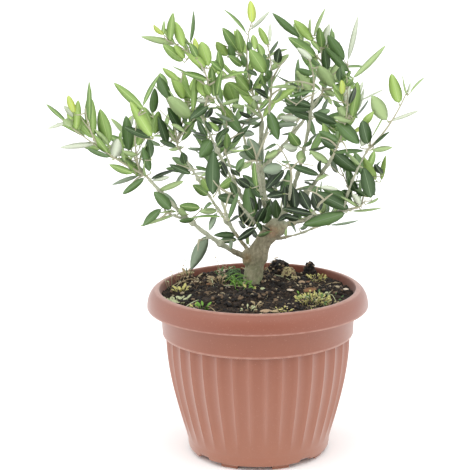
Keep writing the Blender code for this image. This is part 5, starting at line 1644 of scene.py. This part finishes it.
def grow_masses(plan, crown, twigs):
    """The finer twigs and the leaves of every mass, each within its own mass's space."""
    for name, _, _, _, _, seed, youth_and_light in MASSES:
        own = Lines()
        others = Lines()
        for other, shoots in plan.items():
            target = own if other == name else others
            for line, _, _ in shoots:
                target.add(line, [0.0] * len(line))
        rng = random.Random(seed + 100)
        shoots = list(plan[name])
        for growth in BRANCHLETS:
            shoots += add_branchlets(shoots, own, others, crown, growth, rng)
        for line, root_radius, roll in shoots:
            count = len(line) - 1
            radii = []
            for i in range(count + 1):
                radii.append(root_radius + (TWIG_TIP_RADIUS - root_radius) * i / count)
            add_tube(twigs, line, radii, TWIG_SIDES, 0, roll)
        pitch = SPARSE_PITCH if name in SPARSE_MASSES else NODE_PITCH
        grow_leaves(crown, shoots, own, others, pitch, youth_and_light, random.Random(seed))


def pile_leaves(crown, twigs):
    """Every leaf as a blade in its kind's pile, and its stalk among the twigs."""
    rng = random.Random(7)
    piles = [Pieces() for _ in LEAF_KINDS]
    for number, leaf in enumerate(crown.leaves):
        start, ahead = leaf[:2]
        pale = leaf[5] > 1.5
        tone = min(max(leaf[5] - PALE_STEP * pale, 0.0), 0.999)
        green = int(tone * len(GREENS))
        pile = piles[int(tone * len(LEAF_KINDS))]
        under = 0 if tone < 0.5 else 1
        if pale or number >= crown.seen and rng.random() < PALE_SHARE:
            under = 2
        rib = 3 if tone < 0.5 else 4
        add_leaf(pile, leaf, (green, len(GREENS) + rib, len(GREENS) + under), rng)
        stalk = [start, start + ahead * (PETIOLE * 0.5), start + ahead * (PETIOLE + 0.8)]
        add_tube(twigs, stalk, [0.5, 0.42, 0.36], 4, 1)
    for stalk in crown.stalks:
        add_tube(twigs, stalk, [0.75, 0.6, 0.5], 5, 0)
    return piles


def make_foliage(limbs, crown, finishes):
    """Every mass's shoots, finer twigs and leaves, planned and then joined by kind."""
    plan = plan_shoots(limbs, crown.limb_lines)
    lines = [line for shoots in plan.values() for line, _, _ in shoots]
    lines += [line[8:] for line, _ in limbs.values()]
    hang_seen_leaves(crown, lines)
    show_boughs(crown, limbs)
    twigs = Pieces()
    grow_masses(plan, crown, twigs)
    piles = pile_leaves(crown, twigs)
    slots = [finishes[name] for name, _ in GREENS] + [finishes[row[0]] for row in LEAF_BACKS]
    made = [twigs.build("twigs", [finishes["twig_bark"], finishes["leaf_stalk"]])]
    for kind, pile in zip(LEAF_KINDS, piles):
        made.append(pile.build(kind, slots))
    return made


# Soil and what lies on it

def soil_height(x, y):
    """Height of the soil's surface: swelling under the trunk, with heaps, lumps and dips."""
    away = math.hypot(x - TRUNK_FOOT[0], y - TRUNK_FOOT[1])
    share = min(max((away - SOIL_SEAT_RADIUS) / SOIL_SWELL_REACH, 0.0), 1.0)
    swell = 0.5 + 0.5 * math.cos(math.pi * share)
    height = SOIL_EDGE_HEIGHT + (SOIL_SEAT_HEIGHT - SOIL_EDGE_HEIGHT) * swell
    for heap_x, heap_y, radius, rise, _, _, _ in HEAPS:
        reach = math.hypot(x - heap_x, y - heap_y) / radius
        height += rise * math.exp(-(1.15 * reach) ** 4) * 0.85
    spot = Vector((x, y, 3.0))
    lump_size, lump_rise = SOIL_LUMPS
    clod_size, clod_rise = SOIL_CLODS
    lumps = noise.fractal(spot / lump_size, 0.9, 2.0, 4) * lump_rise
    lumps += noise.fractal(spot / clod_size, 0.9, 2.0, 3) * clod_rise
    quiet = min(1.0, away / QUIET_RADIUS)
    return height + lumps * (0.35 + 0.65 * quiet)


def make_soil(finish):
    """The soil as one closed shape: its uneven top and, inside the pot, its side and base."""
    soil = level_ring_start("soil_surface", SOIL_RADIUS, SOIL_EDGE_HEIGHT, SOIL_POINTS)
    shares = [(1 - i / SOIL_RINGS) ** 0.95 for i in range(SOIL_RINGS)]
    grow_rings([(SOIL_RADIUS * share, SOIL_EDGE_HEIGHT) for share in shares])
    bpy.ops.mesh.edge_face_add()
    rest_at_origin(soil)
    for vertex in soil.data.vertices:
        x, y, _ = (value / MM for value in vertex.co)
        vertex.co.z = soil_height(x, y) * MM
    bpy.ops.object.mode_set(mode="EDIT")
    pick_open_edge(soil)
    for radius, height in SOIL_SIDE:
        bpy.ops.mesh.extrude_region_move(TRANSFORM_OT_translate={"value": (0, 0, 0)})
        mesh = bmesh.from_edit_mesh(soil.data)
        for vertex in mesh.verts:
            if vertex.select:
                x, y, _ = vertex.co
                reach = math.hypot(x, y)
                vertex.co = (x / reach * radius * MM, y / reach * radius * MM, height * MM)
        bmesh.update_edit_mesh(soil.data)
    bpy.ops.mesh.edge_face_add()
    settle(soil)
    bpy.ops.object.shade_smooth()
    soil.data.materials.append(finish)
    return soil


def lump(rng):
    """Points and faces of one rough crumb of radius one."""
    phi = (1 + 5 ** 0.5) / 2
    corners = []
    for a in (-1, 1):
        for b in (-phi, phi):
            corners += [(0, a, b), (a, b, 0), (b, 0, a)]
    hull = bmesh.new()
    for corner in corners:
        jitter = rng.uniform(0.72, 1.2)
        hull.verts.new(Vector(corner).normalized() * jitter)
    bmesh.ops.convex_hull(hull, input=hull.verts)
    turn = Matrix.Rotation(rng.uniform(0, 6.3), 3, "Z")
    turn = turn @ Matrix.Rotation(rng.uniform(-0.5, 0.5), 3, "X")
    scale = Vector((1, rng.uniform(0.65, 1), CRUMB_FLATNESS * rng.uniform(0.7, 1)))
    used = [vertex for vertex in hull.verts if vertex.link_faces]
    number = {vertex: i for i, vertex in enumerate(used)}
    points = [turn @ (vertex.co * scale) for vertex in used]
    faces = [tuple(number[vertex] for vertex in face.verts) for face in hull.faces]
    hull.free()
    return points, faces


def seat_lump(pieces, rng, shapes, x, y, size, sunk, slot):
    """Set one crumb on the soil, a share of its size sunk in."""
    if math.hypot(x, y) > SOIL_RADIUS - 1 - size:
        return
    if math.hypot(x - TRUNK_FOOT[0], y - TRUNK_FOOT[1]) < TRUNK_CLEARANCE:
        return
    points, faces = rng.choice(shapes)
    turn = Matrix.Rotation(rng.uniform(0, 6.3), 3, "Z")
    base = Vector((x, y, soil_height(x, y) + size * (0.6 - sunk)))
    pieces.add([base + turn @ point * size for point in points], faces, slot)


def spread_place(rng, radius):
    """A random place, evenly spread over a disc of a radius."""
    reach = radius * math.sqrt(rng.random())
    angle = rng.uniform(0, 2 * math.pi)
    return reach * math.sin(angle), reach * math.cos(angle)


def scatter_crumbs(finishes):
    """Crumbs of peat and bark, loose over the soil and piled on its heaps."""
    rng = random.Random(41)
    pieces = Pieces()
    shapes = [lump(rng) for _ in range(CRUMB_SHAPES)]
    slots = range(len(HEAP_FINISHES))
    for _ in range(LOOSE_CRUMBS):
        x, y = spread_place(rng, CRUMB_REACH)
        size = 0.5 + 3.0 * rng.random() ** 2.5
        slot = rng.choices((0, 1, 2, 3), (48, 32, 14, 6))[0]
        seat_lump(pieces, rng, shapes, x, y, size, 0.7, slot)
    for x, y, radius, _, count, size, kind in HEAPS:
        for _ in range(count):
            across, ahead = spread_place(rng, radius)
            slot = rng.choices(slots, HEAP_MIXES[kind])[0]
            lump_size = size * rng.uniform(0.5, 1.3)
            seat_lump(pieces, rng, shapes, x + across, y + ahead, lump_size, 0.3, slot)
    for _ in range(LOOSE_FIBRES):
        middle = Vector((*spread_place(rng, FIBRE_REACH), 0))
        turn = rng.uniform(0, 2 * math.pi)
        half = Vector((math.sin(turn), math.cos(turn), 0)) * rng.uniform(1.2, 4.5)
        line = []
        for spot in (middle - half, middle, middle + half):
            height = soil_height(spot.x, spot.y) + rng.uniform(0.2, 1.6)
            line.append(Vector((spot.x, spot.y, height)))
        thick = rng.uniform(0.22, 0.42)
        slot = rng.choices((1, 2, 3), (50, 32, 18))[0]
        add_tube(pieces, line, [thick * 0.7, thick, thick * 0.6], 4, slot)
    return pieces.build("soil_crumbs", [finishes[name] for name in HEAP_FINISHES])


def grow_tuft(pieces, slots, row, rng):
    """Leaflets on thin stalks that lean out from one spot of the soil."""
    x, y, reach, height, count, length, kind = row
    slot = slots[kind]
    for _ in range(count):
        away = math.sqrt(rng.random())
        angle = rng.uniform(0, 2 * math.pi)
        out = Vector((math.sin(angle), math.cos(angle), 0))
        foot = Vector((x, y, 0)) + out * (reach * away)
        if math.hypot(foot.x, foot.y) > SOIL_RADIUS - 2:
            continue
        foot.z = soil_height(foot.x, foot.y) - 0.4
        lean = rng.uniform(0, 1.5 + 0.4 * height)
        head = foot + UP * (0.4 + height * rng.uniform(0.25, 1)) + out * lean
        ahead = (out * rng.uniform(0.5, 1.2) + UP * rng.uniform(0.0, 0.8)).normalized()
        face = UP + LIGHT_SIDE
        face = (face - ahead * face.dot(ahead)).normalized()
        size = length * rng.uniform(0.65, 1.2)
        shape = (head - ahead * PETIOLE, ahead, face, size, size * rng.uniform(0.4, 0.65), 0)
        add_leaf(pieces, shape, (slot, slot, slot), rng)
        middle = foot.lerp(head, 0.6) + out * 0.3
        add_tube(pieces, [foot, middle, head], [0.25, 0.22, 0.2], 4, slot)


def dress_soil(finishes):
    """Weeds, bare stalks, fallen leaves and chips of bark that lie on the soil."""
    rng = random.Random(53)
    pieces = Pieces()
    slots = {name: i for i, name in enumerate(WEED_FINISHES)}
    for row in TUFTS:
        grow_tuft(pieces, slots, row, rng)
    for (x0, y0, rise0), (x1, y1, rise1), rise, kind in STALKS:
        first = Vector((x0, y0, soil_height(x0, y0) + rise0))
        last = Vector((x1, y1, soil_height(x1, y1) + rise1))
        line = bowed_line(first, last, UP * rise, 8)
        add_tube(pieces, line, [0.42] * 6 + [0.36, 0.3, 0.22], 5, slots[kind])
    for x, y, rise, length, width, way, kind in CHIPS:
        turn = math.radians(way)
        ahead = Vector((math.sin(turn), math.cos(turn), rng.uniform(-0.1, 0.15))).normalized()
        face = UP * 0.7 + LIGHT_SIDE * 1.4
        face = (face - ahead * face.dot(ahead)).normalized()
        start = Vector((x, y, soil_height(x, y) + rise)) - ahead * PETIOLE
        add_leaf(pieces, (start, ahead, face, length, width, 0), [slots[kind]] * 3, rng)
    return pieces.build("soil_weeds", [finishes[name] for name in WEED_FINISHES])


# Studio and assembly

def place_camera(scene):
    """The camera that took the photograph."""
    data = bpy.data.cameras.new("photo_camera")
    data.sensor_width = SENSOR
    data.lens = CAMERA_LENS
    camera = bpy.data.objects.new("photo_camera", data)
    scene.collection.objects.link(camera)
    camera.matrix_world = Matrix.Translation(Vector(CAMERA_PLACE) * MM) @ camera_turn(4)
    scene.camera = camera


def light_studio(scene):
    """An even white surround and three broad, soft lights."""
    world = bpy.data.worlds.new("studio")
    world.use_nodes = True
    background = world.node_tree.nodes["Background"]
    background.inputs["Color"].default_value = (1, 1, 1, 1)
    background.inputs["Strength"].default_value = 1.0
    scene.world = world
    scene.view_settings.view_transform = "Standard"
    for name, energy, turn, tilt in SOFTBOXES:
        data = bpy.data.lights.new(name, "SUN")
        data.energy = energy
        data.angle = math.radians(SOFTBOX_SPREAD)
        light = bpy.data.objects.new(name, data)
        light.rotation_euler = (math.radians(tilt), 0, math.radians(turn))
        scene.collection.objects.link(light)


def lay_floor():
    """The plain pale floor under the pot."""
    bpy.ops.object.select_all(action="DESELECT")
    bpy.ops.mesh.primitive_plane_add(size=FLOOR_SIZE, location=(0, 0, 0))
    floor = bpy.context.object
    floor.name = "studio_floor"
    floor.data.materials.append(plain("studio_floor", (250, 250, 250), 0.9))


def main():
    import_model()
    cad_low, cad_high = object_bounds()

    place_camera(bpy.context.scene)
    light_studio(bpy.context.scene)
    lay_floor()

    finishes = plain_finishes()
    limbs = plan_limbs()
    limb_lines = Lines()
    for line, radii in limbs.values():
        limb_lines.add(line, radii)

    pot = make_pot(pot_plastic())
    soil = make_soil(soil_finish())
    crumbs = scatter_crumbs(finishes)
    weeds = dress_soil(finishes)
    bark = make_bark(limbs, bark_finish())
    reach = (np.array(cad_low) / MM - BOX_SLACK, np.array(cad_high) / MM + BOX_SLACK)
    foliage = make_foliage(limbs, Crown(limb_lines, *reach), finishes)

    for piece in [pot, soil, crumbs, weeds, bark] + foliage:
        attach(piece, "root")
    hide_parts("pot")
    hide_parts("soil")
    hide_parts("trunk", *[row[0] for row in BOUGHS])
    mass_names = [row[0] for row in MASSES]
    for piece in foliage[1:]:
        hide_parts(*mass_names)


main()
